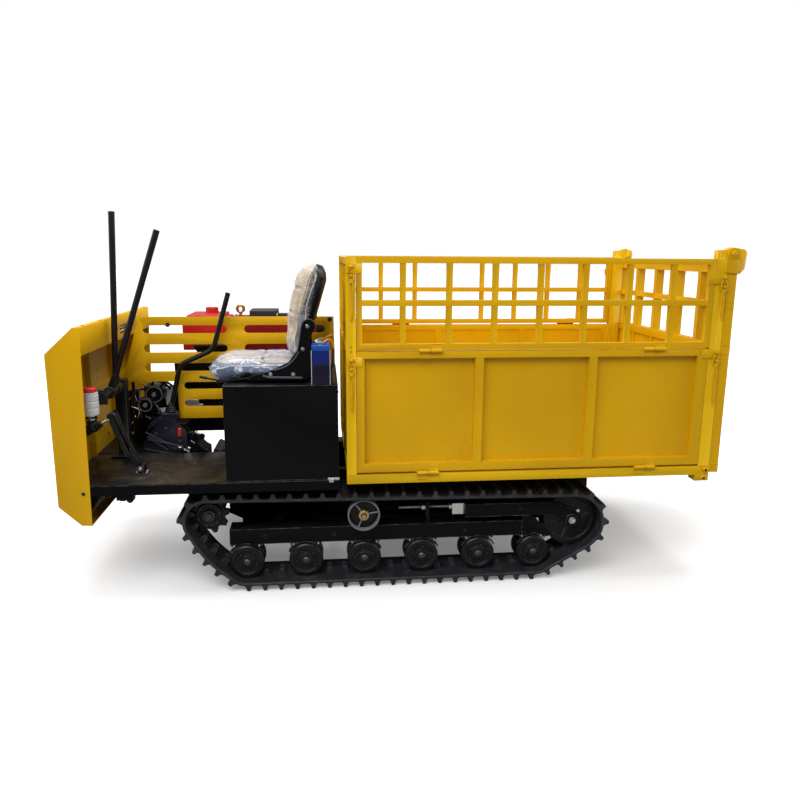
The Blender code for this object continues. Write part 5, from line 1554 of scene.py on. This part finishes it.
def tailgate_details():
    welds = Shape()
    half, x0, x1 = HALF_WIDTH - 0.001, 1.4405, 1.485
    for bar in range(6):
        y = -half + (2 * half - 0.040) / 5 * bar
        wide = 0.040 if bar in (0, 5) else 0.028
        for z in (0.5715, 1.0945, 1.1355, 1.3045, 1.3305, 1.4595):
            beads(welds, (x1 - 0.0012, y + 0.002, z), (x1 - 0.0012, y + wide - 0.002, z), 0.0016, 101)
            for edge in (0.0, wide):
                beads(welds, (x0 + 0.004, y + edge, z), (x1 - 0.004, y + edge, z), 0.0018, 102)
    show("tailgate_welds", welds, "yellow", "tailgate")
    pins = Shape()
    for _, side in SIDES:
        pins.lathe(
            [
                (0.0120, side * 0.6060), (0.0230, side * 0.6060), (0.0245, side * 0.6075),
                (0.0245, side * 0.6080), (0.0120, side * 0.6083),
            ],
            (1.455, 0, 1.546), "Y", 40,
        )
    show("tailgate_pin_washers", pins, "yellow", "tailgate")


def hoist_details():
    foot, head = Vector((-0.170, 0.0, 0.280)), Vector((0.450, 0.0, 0.462))
    along = (head - foot).normalized()
    length = (head - foot).length
    turn = along.to_track_quat("Z", "Y").to_matrix().to_4x4()

    def place(shape):
        bmesh.ops.transform(shape.bm, matrix=Matrix.Translation(foot) @ turn, verts=shape.bm.verts)
        return shape

    end = length - 0.120
    gland = Shape().lathe(
        [
            (0.0190, end - 0.030), (0.0385, end - 0.030), (0.0385, end + 0.002), (0.0350, end + 0.008),
            (0.0225, end + 0.010), (0.0190, end + 0.006),
        ],
        (0, 0, 0), "Z", 48,
    )
    gland.lathe(
        [(0.0300, 0.040), (0.0380, 0.044), (0.0380, 0.066), (0.0340, 0.070), (0.0300, 0.070)], (0, 0, 0), "Z",
        48,
    )
    show("hoist_gland", place(gland), "chassis", "hoist_barrel", 0.0008)
    lines = Shape()
    lines.tube(
        rounded(
            [(0.030, 0.0, 0.075), (0.048, 0.0, 0.075), (0.048, 0.0, end - 0.050), (0.034, 0.0, end - 0.050)],
            0.012, 6,
        ),
        0.0050, 14,
    )
    for spot in (0.075, end - 0.050):
        lines.bar((0.030, 0, spot), (0.042, 0, spot), 0.0105, 6)
    for spot in (0.180, 0.330):
        lines.lathe(
            [(0.0362, spot), (0.0378, spot), (0.0378, spot + 0.012), (0.0362, spot + 0.012)], (0, 0, 0), "Z",
            40,
        )
        lines.block((0.036, 0.054), (-0.0080, 0.0080), (spot, spot + 0.012))
    show("hoist_hard_line", place(lines), "steel", "hoist_barrel", 0.0004)
    pin = Shape().bar((head.x, -0.0285, head.z), (head.x, 0.0285, head.z), 0.0222, 36)
    show("hoist_eye", pin, "chassis", "hoist_rod", 0.0010)


def superstructure():
    platform_details()
    cowl_details()
    guard_details()
    seat_base_details()
    levers()
    lever_stand_details()
    brake_details()
    for side_name, side in SIDES:
        for level, places in LATCHES.items():
            for end, x, z, low in places:
                latch(f"gate_latch_{side_name}_{end}_{level}", side, x, z, low)
        hinges(side_name, side)
        gate_welds(side_name, side)
    box_details()
    tailgate_details()
    hoist_details()


# Seat


SEAT_SIDES = (-0.5225, -0.0775)
SEAT_MIDDLE = -0.300
BACK_FOOT = Vector((-0.438, 0.0, 1.178))
BACK_OUT = Vector((-0.958, 0.0, 0.285))
BACK_RISE = Vector((0.285, 0.0, 0.958))
PAD_VOXEL, SWELL_LIMIT, SWELL_FRAMES, WRAP_ROOM = 0.0065, 0.022, 20, 0.003


def pad_rings(outline, half, squeeze, stations=15):
    """Rings of (x, z) points across the width, drawn in towards the outline's middle near both ends."""
    middle = Vector((sum(a for a, _ in outline) / len(outline), sum(b for _, b in outline) / len(outline)))
    rings = []
    for step in range(stations):
        across = -1.0 + 2.0 * step / (stations - 1)
        keep = 1.0 - squeeze * abs(across) ** 5
        y = SEAT_MIDDLE + half * across
        rings.append(
            [(middle.x + (a - middle.x) * keep, y, middle.y + (b - middle.y) * keep) for a, b in outline]
        )
    return rings


def remeshed(mesh):
    obj = bpy.data.objects.new("scratch", mesh)
    bpy.context.scene.collection.objects.link(obj)
    change = obj.modifiers.new("voxels", "REMESH")
    change.mode = "VOXEL"
    change.voxel_size = PAD_VOXEL
    return settled(obj)


def settled(obj):
    """The object's mesh with its modifiers applied. The object goes."""
    bpy.context.view_layer.update()
    graph = bpy.context.evaluated_depsgraph_get()
    made = bpy.data.meshes.new_from_object(obj.evaluated_get(graph))
    bpy.data.objects.remove(obj, do_unlink=True)
    return made


def swollen(mesh):
    """The mesh blown up like a foam pad under its cover, no point moving further than SWELL_LIMIT."""
    obj = bpy.data.objects.new("scratch", mesh)
    scene = bpy.context.scene
    scene.collection.objects.link(obj)
    cloth = obj.modifiers.new("air", "CLOTH")
    cloth.settings.quality = 4
    cloth.settings.mass = 0.3
    cloth.settings.bending_stiffness = 0.8
    cloth.settings.use_pressure = True
    cloth.settings.uniform_pressure_force = 4.0
    cloth.settings.effector_weights.gravity = 0.0
    cloth.point_cache.frame_start, cloth.point_cache.frame_end = 1, SWELL_FRAMES
    for number in range(1, SWELL_FRAMES + 1):
        scene.frame_set(number)
    graph = bpy.context.evaluated_depsgraph_get()
    blown = [vert.co.copy() for vert in obj.evaluated_get(graph).data.vertices]
    scene.frame_set(1)
    bpy.data.objects.remove(obj, do_unlink=True)
    for vert, after in zip(mesh.vertices, blown):
        move = after - vert.co
        vert.co += move * min(1.0, SWELL_LIMIT / max(move.length, 1e-9))
    return mesh


def pad(name, node, outline, half, squeeze, keep_clear, channel):
    """A sewn cushion: swollen, fitted to its node's box, held off its frame, with its channels pressed in."""
    shape = Shape().skin(pad_rings(outline, half, squeeze))
    mesh = swollen(remeshed(shape.mesh("start")))
    obj = bpy.data.objects.new("scratch", mesh)
    bpy.context.scene.collection.objects.link(obj)
    calm = obj.modifiers.new("calm", "SMOOTH")
    calm.factor, calm.iterations = 0.5, 6
    fine = obj.modifiers.new("fine", "SUBSURF")
    fine.levels = fine.render_levels = 1
    mesh = settled(obj)
    fit_box(mesh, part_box(node), WRAP_ROOM)
    for vert, normal in zip(mesh.vertices, [vert.normal.copy() for vert in mesh.vertices]):
        vert.co -= normal * channel(vert.co, normal)
        vert.co.y = min(max(vert.co.y, SEAT_SIDES[0]), SEAT_SIDES[1])
        vert.co = keep_clear(vert.co)
    mesh.name = name
    return mesh


def fit_box(mesh, box, room):
    """Stretches the mesh along x and z to fill the box, less the room for its wrapping."""
    for axis in (0, 2):
        places = [vert.co[axis] for vert in mesh.vertices]
        low, high = min(places), max(places)
        start, end = box[0][axis] + room, box[1][axis] - room
        for vert in mesh.vertices:
            vert.co[axis] = start + (vert.co[axis] - low) * (end - start) / (high - low)
    mesh.update()


def groove(distance, width=0.006, depth=0.0055):
    return depth * math.exp(-((distance / width) ** 2))


def above_pan(spot):
    low = 0.9965 if spot.x > -0.700 else 0.9965 + (spot.x + 0.700) * 0.138
    return Vector((spot.x, spot.y, max(spot.z, low)))


def off_shell(spot):
    out = (spot - BACK_FOOT).dot(BACK_OUT)
    return spot + BACK_OUT * max(0.0, 0.002 - out)


def seat_channels(spot, normal):
    if normal.z < 0.4:
        return 0.0
    return max(groove(spot.x + 0.640), groove(spot.y + 0.400), groove(spot.y + 0.200))


def back_channels(spot, normal):
    if normal.dot(BACK_OUT) < 0.4:
        return 0.0
    rise = (spot - BACK_FOOT).dot(BACK_RISE)
    return max(groove(rise - 0.080), groove(rise - 0.190), groove(spot.y + 0.400), groove(spot.y + 0.200))


def laid_on(tree, points, lift):
    """The points moved to the nearest place on the surface, and out by the lift."""
    route = []
    for point in points:
        spot, normal, _, _ = tree.find_nearest(Vector(point))
        route.append(spot + normal * lift)
    return route


def piping(name, mesh, lines, look, radius, body="seat"):
    tree = BVHTree.FromPolygons(
        [v.co.copy() for v in mesh.vertices], [list(p.vertices) for p in mesh.polygons]
    )
    cords = Shape()
    for line in lines:
        cords.tube(laid_on(tree, smooth_route(line, 14), radius * 0.45), radius, 8)
    show(name, cords, look, body)


def wrap(name, mesh, kept, lift, seed):
    """A loose clear bag over a pad: its skin pushed out and creased, and hanging low past the front edge."""
    bm = bmesh.new()
    bm.from_mesh(mesh)
    bmesh.ops.delete(
        bm, geom=[face for face in bm.faces if not kept(face.calc_center_median(), face.normal)],
        context="FACES",
    )
    bm.normal_update()
    moved = []
    for vert in bm.verts:
        p = vert.co
        along = Vector((p.x * 3.2, p.y * 5.0, p.z * 11.0 + p.x * 5.0 + seed))
        fold = 1.0 - abs(noise.noise(along) * 2.6)
        fine = 1.0 - abs(noise.noise(along * 2.3 + Vector((0.0, 7.0, 0.0))) * 2.4)
        place = p + vert.normal * (lift + 0.0060 * max(0.0, fold) ** 3 + 0.0024 * max(0.0, fine) ** 3)
        sag = min(1.0, max(0.0, (-0.800 - p.x) / 0.030)) * min(1.0, max(0.0, (1.020 - p.z) / 0.030))
        moved.append(place - Vector((0.0, 0.0, 0.012 * sag)))
    for vert, place in zip(bm.verts, moved):
        vert.co = place
    sheet = bpy.data.meshes.new(name)
    bm.to_mesh(sheet)
    bm.free()
    sheet.materials.clear()
    return sheet


def seat_shell():
    """The moulded black shell behind the back pad: its rim turned forward, its top corners rounded."""
    rings = []
    rows = [
        (-0.022, 0.218), (0.030, 0.222), (0.100, 0.224), (0.170, 0.224), (0.220, 0.220), (0.255, 0.208),
        (0.280, 0.186), (0.298, 0.150), (0.308, 0.105),
    ]
    for rise, wide in rows:
        lean = 0.038 * (max(0.0, rise - 0.250) / 0.062) ** 2
        outer, inner = [], []
        for step in range(25):
            across = -1.0 + 2.0 * step / 24
            curl = 0.016 * abs(across) ** 6 + lean
            base = BACK_FOOT + BACK_RISE * rise + Vector((0.0, SEAT_MIDDLE + wide * across, 0.0))
            inner.append(base + BACK_OUT * (curl - 0.001))
            outer.append(base + BACK_OUT * (lean + 0.012 * abs(across) ** 6 - 0.018))
        rings.append([*outer, *inner[::-1]])
    return Shape().skin(rings)


def seat():
    pad_outline = (
        (-0.484, 1.008), (-0.484, 1.050), (-0.560, 1.060), (-0.795, 1.060), (-0.848, 1.041), (-0.862, 1.008),
        (-0.842, 0.988), (-0.700, 1.006),
    )
    back_outline = (
        (-0.470, 1.086), (-0.456, 1.176), (-0.380, 1.436), (-0.400, 1.470), (-0.436, 1.458), (-0.468, 1.414),
        (-0.508, 1.280), (-0.517, 1.150), (-0.510, 1.084),
    )
    cushion = pad("seat_cushion_pad", "seat_cushion", pad_outline, 0.205, 0.16, above_pan, seat_channels)
    back = pad("seat_back_pad", "seat_back", back_outline, 0.205, 0.14, off_shell, back_channels)
    low = pad_piece("seat_cushion_pad", cushion, "vinyl", "seat_cushion")
    high = pad_piece("seat_back_pad", back, "vinyl_back", "seat_back")
    near, far = -0.512, -0.088
    edge = [
        [
            (-0.490, y, 1.050), (-0.600, y, 1.052), (-0.740, y, 1.051), (-0.830, y, 1.040),
            (-0.866, y * 0.94 - 0.018, 1.022),
        ]
        for y in (near, far)
    ]
    piping("seat_cushion_piping", cushion, edge, "cream", 0.0030)
    seams = [[(-0.640, y, 1.075) for y in (-0.500, -0.400, -0.300, -0.200, -0.100)],
             [(x, -0.400, 1.075) for x in (-0.850, -0.740, -0.640, -0.560, -0.500)],
             [(x, -0.200, 1.075) for x in (-0.850, -0.740, -0.640, -0.560, -0.500)]]
    piping("seat_cushion_seams", cushion, seams, "brown_thread", 0.0013)
    ridges = []
    for y in (near, far):
        for out in (0.014, 0.052):
            ridges.append(
                [
                    tuple(
                        BACK_FOOT
                        + BACK_RISE * rise
                        + BACK_OUT * (out + 0.012 * math.sin(rise * 9.0))
                        + Vector((0, y, 0))
                    )
                    for rise in (-0.090, 0.0, 0.080, 0.160, 0.235, 0.285)
                ]
            )
    piping("seat_back_piping", back, ridges, "cream", 0.0032)
    seams = [
        [
            tuple(BACK_FOOT + BACK_RISE * rise + BACK_OUT * 0.110 + Vector((0, y, 0)))
            for y in (-0.490, -0.400, -0.300, -0.200, -0.110)
        ]
        for rise in (0.080, 0.190)
    ]
    piping("seat_back_seams", back, seams, "brown_thread", 0.0013)

    bag = wrap("seat_cushion_wrap", cushion, lambda p, n: n.z > -0.55 or p.x < -0.72, 0.0035, 0.0)
    bag = show("seat_cushion_wrap", bag, "film", "seat")
    hood = wrap("seat_back_wrap", back, lambda p, n: n.dot(BACK_OUT) > -0.6, 0.0030, 5.0)
    hood = show("seat_back_wrap", hood, "film_back", "seat")

    frame_outline = (
        (-0.700, 0.986), (-0.440, 0.986), (-0.4245, 1.010), (-0.4245, 1.172), (-0.398, 1.222),
        *arc((-0.430, 1.224), 0.032, 0, 180, 14), (-0.480, 1.120), (-0.520, 1.066), (-0.610, 1.024),
        (-0.690, 1.004),
    )
    plates = Shape()
    for ys in ((-0.532, -0.524), (-0.076, -0.068)):
        plates.slab(frame_outline, "Y", ys)
    plates.block((-0.700, -0.440), (-0.530, -0.070), (0.986, 0.994))
    pan = (
        (-0.845, 0.968), (-0.845, 0.974), (-0.700, 0.994), (-0.660, 0.994), (-0.660, 0.986), (-0.700, 0.986)
    )
    plates.slab(pan, "Y", (-0.500, -0.100))
    ribs = Shape()
    for y in (-0.5335, -0.0665):
        ribs.tube(
            rounded(((-0.634, y, 1.006), (-0.606, y, 0.9985), (-0.462, y, 0.9950)), 0.016, 6), 0.0062, 12
        )
        ribs.tube(
            smooth_route([(-0.585, y, 1.030), (-0.535, y, 1.046), (-0.496, y, 1.078), (-0.474, y, 1.112)], 8),
            0.0040, 12,
        )
        ribs.tube(arc_route((-0.430, 1.224), 0.0300, -5, 172, y, 18), 0.0030, 10)
    for y in (-0.458, -0.143):
        plates.block((-0.720, -0.420), (y - 0.016, y + 0.016), (0.9750, 0.987))
    show("seat_bracket_plates", plates, "black", "seat", 0.0016, ("seat_frame",))
    show("seat_bracket_ribs", ribs, "grey_paint", "seat")
    show("seat_back_shell", seat_shell(), "black", "seat", 0.0012)
    bolts = Shape()
    for y, out in ((-0.5325, -1), (-0.0675, 1)):
        bolts_on(
            bolts, [(-0.435, y, 1.223), (-0.457, y, 1.124), (-0.600, y, 1.013), (-0.501, y, 1.012)],
            (0, out, 0), 0.0068, 0.35,
        )
    show("seat_bracket_bolts", bolts, "bright", "seat", 0.0004)
    handle = Shape().tube(
        rounded(((-0.720, -0.470, 0.982), (-0.840, -0.470, 0.978), (-0.900, -0.470, 0.992)), 0.02, 5), 0.0045,
        12,
    )
    handle.bar((-0.882, -0.470, 0.9880), (-0.916, -0.470, 0.9960), 0.0068, 16)
    show("seat_slide_handle", handle, "satin", "seat", 0.0006)


def pad_piece(name, mesh, look, node):
    mesh.materials.clear()
    obj = show(name, mesh, look, "seat", 0.0, (node,), angle=80.0)
    return obj


def arc_route(centre, radius, start, end, y, steps):
    return [(x, y, z) for x, z in arc(centre, radius, start, end, steps)]


# Battery, engine, tank and gearbox

FLYWHEEL = (-0.700, 0.860)

def battery():
    xs, ys, foot, head = (-0.418, -0.341), (-0.590, -0.420), 0.9735, 1.150
    low = Shape().block(xs, ys, (foot, 1.062))
    for y in (-0.560, -0.525, -0.490, -0.455):
        low.block((xs[0] - 0.0004, xs[1] + 0.0004), (y - 0.0010, y + 0.0010), (foot + 0.006, 1.056))
    show("battery_lower_case", low, "battery_dark", "chassis", 0.0035, ("battery",))
    show("battery_upper_case", Shape().block(xs, ys, (1.0622, 1.126)), "battery_mid", "chassis", 0.0030)
    lid = Shape().block(
        (xs[0] - 0.0012, xs[1] + 0.0012), (ys[0] - 0.0012, ys[1] + 0.0012), (1.1262, head - 0.004)
    )
    lid.block((xs[0] + 0.012, xs[1] - 0.012), (-0.545, -0.465), (head - 0.008, head))
    for y in (-0.535, -0.515, -0.495, -0.475):
        lid.bar((-0.3795, y, head - 0.004), (-0.3795, y, head + 0.003), 0.0070, 20)
    show("battery_lid", lid, "blue", "chassis", 0.0025)
    metal, insulation = Shape(), Shape()
    for y in (-0.570, -0.440):
        metal.bar((-0.380, y, head - 0.006), (-0.380, y, 1.164), 0.0085, 20, 0.0075)
        metal.block((-0.394, -0.366), (y - 0.012, y + 0.012), (1.152, 1.159))
        metal.bolt((-0.380, y, 1.159), (0, 0, 1), 0.0062, 0.5)
    show("battery_terminals", metal, "zinc", "chassis", 0.0005)
    insulation.tube(
        smooth_route(
            [
                (-0.392, -0.570, 1.157), (-0.400, -0.561, 1.163), (-0.392, -0.546, 1.164),
                (-0.380, -0.536, 1.158), (-0.376, -0.530, 1.149),
            ],
            8,
        ),
        0.0038, 10,
    )
    show("battery_white_lead", insulation, "white_plastic", "chassis")
    lead = Shape().tube(
        smooth_route(
            [
                (-0.368, -0.440, 1.157), (-0.346, -0.446, 1.168), (-0.330, -0.440, 1.172),
                (-0.322, -0.420, 1.150), (-0.321, -0.392, 1.075), (-0.323, -0.405, 1.020),
                (-0.324, -0.442, 1.005),
            ],
            10,
        ),
        0.0048, 12,
    )
    lead.tube(
        smooth_route(
            [
                (-0.366, -0.570, 1.157), (-0.352, -0.566, 1.168), (-0.336, -0.556, 1.166),
                (-0.324, -0.550, 1.150), (-0.324, -0.548, 1.122),
            ],
            8,
        ),
        0.0040, 12,
    )
    show("battery_orange_leads", lead, "orange", "chassis")
    # Thin pale strips on the film wrap's front corners: painted highlights on its vertical edges.
    corners = Shape()
    for x in (xs[0] - 0.0016, xs[1] + 0.0016):
        corners.bar((x, ys[0] - 0.0016, foot + 0.001), (x, ys[0] - 0.0016, 1.124), 0.0013, 8)
    show("battery_wrap_corner_highlights", corners, "frosted", "chassis")
    relay = Shape().block((-0.334, -0.314), (-0.575, -0.430), (0.9735, 1.045))
    relay.block((-0.330, -0.318), (-0.560, -0.440), (1.045, 1.130))
    show("battery_relay_box", relay, "dirt_brown", "chassis", 0.0030)


def engine():
    x, z = FLYWHEEL
    case = Shape().block((-0.955, -0.435), (0.155, 0.425), (0.6185, 0.955))
    for step in range(11):
        fin = -0.930 + 0.048 * step
        case.block((fin, fin + 0.012), (0.147, 0.433), (0.660, 0.940))
    case.bar((x, 0.120, z), (x, 0.440, z), 0.110, 56)
    case.bar((x, 0.430, z), (x, 0.4695, z), 0.045, 36)
    case.block((-1.118, -0.950), (0.155, 0.225), (0.702, 0.990))
    case.block((-1.040, -0.950), (0.220, 0.360), (0.700, 0.900))
    case.block((-1.146, -0.430), (0.132, 0.150), (0.912, 0.978))
    case.slab(((-1.048, 1.060), (-0.858, 1.060), (-0.858, 0.975), (-1.000, 0.975)), "Y", (0.134, 0.150))
    show("engine_crankcase", case, "chassis", "chassis", 0.0060, ("engine_block",))
    top = Shape().block((-0.860, -0.400), (0.170, 0.410), (0.958, 1.195))
    top.block((-0.855, -0.405), (0.164, 0.416), (1.060, 1.074))
    top.block((-0.855, -0.405), (0.164, 0.416), (1.108, 1.118))
    # The shroud takes the darker copy of the red: painted shade.
    show("engine_shroud", top, "red_painted_shade", "chassis", 0.0080)
    detail = Shape()
    bolts_on(
        detail, [(x + 0.092 * math.cos(a), 0.120, z + 0.092 * math.sin(a)) for a in turns(8)], (0, -1, 0),
        0.0070,
    )
    bolts_on(
        detail, [(along, y, 1.195) for along in (-0.845, -0.500) for y in (0.190, 0.390)], (0, 0, 1), 0.0070
    )
    show("engine_bolts", detail, "zinc", "chassis", 0.0005)
    lift = Shape().block((-0.820, -0.804), (0.285, 0.300), (1.190, 1.222))
    loop = [(-0.812 + 0.0175 * math.cos(a), 0.2925, 1.238 + 0.0175 * math.sin(a)) for a in turns(40)]
    lift.tube(loop, 0.0084, 16, loop=True)
    show("engine_lifting_eye", lift, "bronze", "chassis", 0.0012)
    air = Shape().block((-0.760, -0.612), (0.240, 0.400), (1.1945, 1.232))
    air.block((-0.640, -0.520), (0.265, 0.315), (1.190, 1.214))
    air.bar((-0.520, 0.290, 1.190), (-0.520, 0.290, 1.230), 0.022, 32)
    air.bar((-0.440, 0.220, 1.150), (-0.330, 0.220, 1.150), 0.044, 36)
    show("air_cleaner", air, "black_plastic", "chassis", 0.0050)
    clip = Shape().block((-0.617, -0.608), (0.2365, 0.262), (1.196, 1.216))
    clip.bar((-0.6125, 0.2370, 1.206), (-0.6125, 0.2330, 1.206), 0.0055, 16)
    show("air_cleaner_clip", clip, "bright", "chassis", 0.0006)
    clevis = Shape().block((-1.082, -1.020), (0.060, 0.088), (0.742, 0.785))
    clevis.block((-1.030, -0.998), (0.064, 0.084), (0.742, 0.758))
    show("hydraulic_union", clevis, "frosted", "chassis", 0.0035)
    ring = Shape()
    bolts_on(
        ring, [(x + 0.080 * math.cos(a), 0.505, z + 0.080 * math.sin(a)) for a in turns(6)], (0, 1, 0), 0.0080
    )
    for a in turns(12):
        ring.bar((x + 0.118 * math.cos(a), 0.5060, z + 0.118 * math.sin(a)),
                 (x + 0.152 * math.cos(a + 0.12), 0.5220, z + 0.152 * math.sin(a + 0.12)), 0.0035, 8)
    show("flywheel_bolts", ring, "zinc", "flywheel", 0.0004)
    cap = Shape()
    for a in turns(24):
        spot = (-0.965 + 0.0320 * math.cos(a), 0.310 + 0.0320 * math.sin(a))
        cap.bar((*spot, 1.214), (*spot, 1.243), 0.0016, 6)
    cap.tube(
        [(-0.985 + 0.0900 * math.cos(a), 0.310 + 0.125 * math.sin(a), 1.1965) for a in turns(48)], 0.0030, 8,
        loop=True,
    )
    show("fuel_tank_ribs", cap, "red", "chassis")


def gearbox():
    y = -0.080
    block = Shape().slab(
        ((-1.186, 0.709), (-1.180, 0.742), (-1.100, 0.742), (-1.105, 0.692), (-1.118, 0.680)), "Y",
        (-0.078, -0.012),
    )
    block.slab(
        ((-1.262, 0.648), (-1.225, 0.672), (-1.170, 0.712), (-1.190, 0.720), (-1.240, 0.690)), "Y",
        (-0.070, 0.060),
    )
    show("gearbox_cover", block, "navy", "chassis", 0.0040)
    seams = Shape()
    seams.tube(
        smooth_route([(-1.262, y - 0.001, 0.650), (-1.200, y - 0.001, 0.614), (-1.103, y - 0.001, 0.560)], 8),
        0.0032, 10,
    )
    seams.tube(
        smooth_route([(-1.252, y - 0.001, 0.628), (-1.180, y - 0.001, 0.592), (-1.118, y - 0.001, 0.556)], 8),
        0.0026, 10,
    )
    seams.tube(
        smooth_route([(-1.241, y - 0.001, 0.608), (-1.200, y - 0.001, 0.586), (-1.156, y - 0.001, 0.554)], 8),
        0.0036, 10,
    )
    show("gearbox_ridges", seams, "grey_paint", "chassis")
    bolts = Shape()
    bolts_on(
        bolts, [(-1.161, y, 0.666), (-1.128, y, 0.652), (-1.210, y, 0.640), (-1.094, y, 0.600)], (0, -1, 0),
        0.0070,
    )
    bolts_on(bolts, [(x, -0.045, 0.742) for x in (-1.170, -1.110)], (0, 0, 1), 0.0055)
    show("gearbox_bolts", bolts, "dark_steel", "chassis", 0.0005)
    red = Shape().bar((-1.095, y - 0.002, 0.628), (-1.093, y - 0.002, 0.660), 0.0110, 20, 0.0095)
    red.ball((-1.093, y - 0.002, 0.660), 0.0100)
    show("gearbox_red_plug", red, "red_plastic", "chassis", 0.0010)
    pins = Shape().bar((-1.104, y - 0.006, 0.572), (-1.052, y - 0.006, 0.545), 0.0048, 16)
    pins.bar((-1.058, y, 0.566), (-1.046, y, 0.560), 0.0080, 16)
    pins.bar((-1.020, y, 0.646), (-0.998, y, 0.634), 0.0065, 16)
    pins.bar((-1.042, y, 0.602), (-1.022, y, 0.588), 0.0050, 16)
    show("linkage_pins", pins, "bright", "chassis", 0.0006)
    arm = Shape().bar((-0.988, y - 0.004, 0.619), (-0.988, y + 0.020, 0.619), 0.0155, 24)
    arm.slab(
        (
            (-1.046, 0.648), (-1.018, 0.650), (-0.990, 0.632), (-0.992, 0.605), (-1.030, 0.578),
            (-1.052, 0.590),
        ),
        "Y", (y + 0.002, y + 0.016),
    )
    arm.bar((-1.042, y + 0.004, 0.636), (-1.042, y - 0.008, 0.636), 0.0130, 20)
    arm.slab(
        ((-1.045, 0.600), (-1.010, 0.588), (-0.985, 0.560), (-0.963, 0.546), (-1.060, 0.546)), "Y",
        (y + 0.004, y + 0.030),
    )
    arm.slab(
        (
            (-1.110, 0.690), (-1.062, 0.684), (-1.032, 0.620), (-0.985, 0.562), (-0.960, 0.546),
            (-0.960, 0.500), (-1.108, 0.500),
        ),
        "Y", (-0.066, 0.050),
    )
    show("shift_linkage", arm, "chassis", "chassis", 0.0020)


def machinery():
    """What fills the gap between the cowl and the gearbox: a valve block, a dynamo, pipes and wires, with a
    black sheet that stands for shade over the cowl's yellow inner face.
    """
    y = 0.100
    mass = Shape().block((-1.300, -1.212), (y, 0.240), (0.560, 0.850))
    mass.block((-1.360, -1.292), (y + 0.060, 0.260), (0.545, 0.735))
    mass.block((-1.210, -1.120), (y + 0.040, 0.230), (0.640, 0.830))
    mass.block((-1.361, -1.346), (y, y + 0.018), (0.545, 0.895))
    mass.block((-1.125, -1.055), (0.088, 0.122), (0.600, 0.722))
    mass.block((-1.500, -1.250), (-0.088, 0.360), (0.5395, 0.5470))
    # A black sheet that stands for shade: it hides the cowl's yellow inner face behind the dynamo.
    mass.block((-1.420, -1.366), (y + 0.150, 0.300), (0.545, 0.800))
    mass.bar((-1.278, 0.020, 0.768), (-1.278, 0.100, 0.768), 0.0400, 36)
    mass.bar((-1.236, 0.040, 0.818), (-1.236, 0.120, 0.818), 0.0480, 36)
    mass.bar((-1.337, 0.090, 0.560), (-1.337, 0.090, 0.690), 0.0250, 28)
    for z in (0.640, 0.680, 0.720):
        mass.bar((-1.256, 0.060, z), (-1.256, 0.110, z), 0.0150, 20)
    show("valve_block", mass, "chassis", "chassis", 0.0040)
    rings = Shape()
    for centre, near, radius in (((-1.278, 0.768), 0.020, 0.030), ((-1.236, 0.818), 0.040, 0.038)):
        rings.lathe(
            [
                (radius, near - 0.004), (radius + 0.004, near - 0.004), (radius + 0.004, near + 0.004),
                (radius, near + 0.004),
            ],
            (centre[0], 0, centre[1]), "Y", 40,
        )
        rings.bar((centre[0], near + 0.002, centre[1]), (centre[0], near - 0.010, centre[1]), 0.011, 20)
    for start, end in (
        ((-1.309, 0.095, 0.869), (-1.282, 0.095, 0.846)), ((-1.270, 0.090, 0.872), (-1.218, 0.085, 0.862)),
        ((-1.292, 0.060, 0.702), (-1.262, 0.050, 0.688)),
    ):
        rings.bar(start, end, 0.0035, 12)
    show("dynamo_rims", rings, "rim_grey", "chassis", 0.0008)
    bright = Shape().bar((-1.340, y - 0.010, 0.735), (-1.312, y - 0.010, 0.719), 0.0052, 16)
    bright.bar((-1.366, y - 0.010, 0.747), (-1.340, y - 0.010, 0.735), 0.0030, 12)
    for x, z in ((-1.363, 0.659), (-1.366, 0.603), (-1.262, 0.640)):
        bright.ball((x, y - 0.012, z), 0.0070)
    show("valve_fittings", bright, "zinc", "chassis")
    wires = Shape()
    for line in (
        (
            (-1.352, 0.106, 0.806), (-1.326, 0.09, 0.760), (-1.315, 0.08, 0.735), (-1.318, 0.08, 0.690),
            (-1.330, 0.08, 0.664), (-1.352, 0.09, 0.672), (-1.352, 0.106, 0.702),
        ),
        (
            (-1.404, 0.258, 0.768), (-1.405, 0.09, 0.745), (-1.402, 0.09, 0.690), (-1.396, 0.09, 0.640),
            (-1.386, 0.09, 0.600), (-1.384, 0.258, 0.590),
        ),
        ((-1.327, 0.090, 0.727), (-1.330, 0.08, 0.700), (-1.345, 0.08, 0.680), (-1.354, 0.106, 0.688)),
    ):
        wires.tube(smooth_route(line, 10), 0.0026, 10)
    show("valve_wires", wires, "brass", "chassis")
    pale = Shape().slab(
        ((-1.210, 0.838), (-1.150, 0.838), (-1.172, 0.742), (-1.196, 0.744)), "Y", (y + 0.028, y + 0.034)
    )
    pale.slab(
        ((-1.236, 0.706), (-1.222, 0.734), (-1.192, 0.738), (-1.200, 0.712)), "Y", (y - 0.010, y - 0.004)
    )
    show("dynamo_guard_plate", pale, "white_plastic", "chassis", 0.0015)
    pipes = Shape()
    for line in (
        ((-1.292, 0.108, 0.835), (-1.322, 0.060, 0.840), (-1.350, 0.080, 0.800), (-1.354, 0.108, 0.700)),
        ((-1.210, 0.080, 0.850), (-1.180, 0.060, 0.880), (-1.140, 0.060, 0.850), (-1.135, 0.146, 0.780)),
        ((-1.240, 0.048, 0.776), (-1.210, 0.020, 0.740), (-1.200, 0.030, 0.700), (-1.220, 0.108, 0.655)),
        ((-1.256, 0.090, 0.856), (-1.240, 0.070, 0.884), (-1.200, 0.070, 0.878), (-1.165, 0.146, 0.822)),
    ):
        pipes.tube(smooth_route(line, 10), 0.0065, 12)
    show("valve_hoses", pipes, "hose", "chassis")


camera()
light()
floor()
dress_nodes()
undercarriage()
superstructure()
seat()
battery()
engine()
gearbox()
machinery()
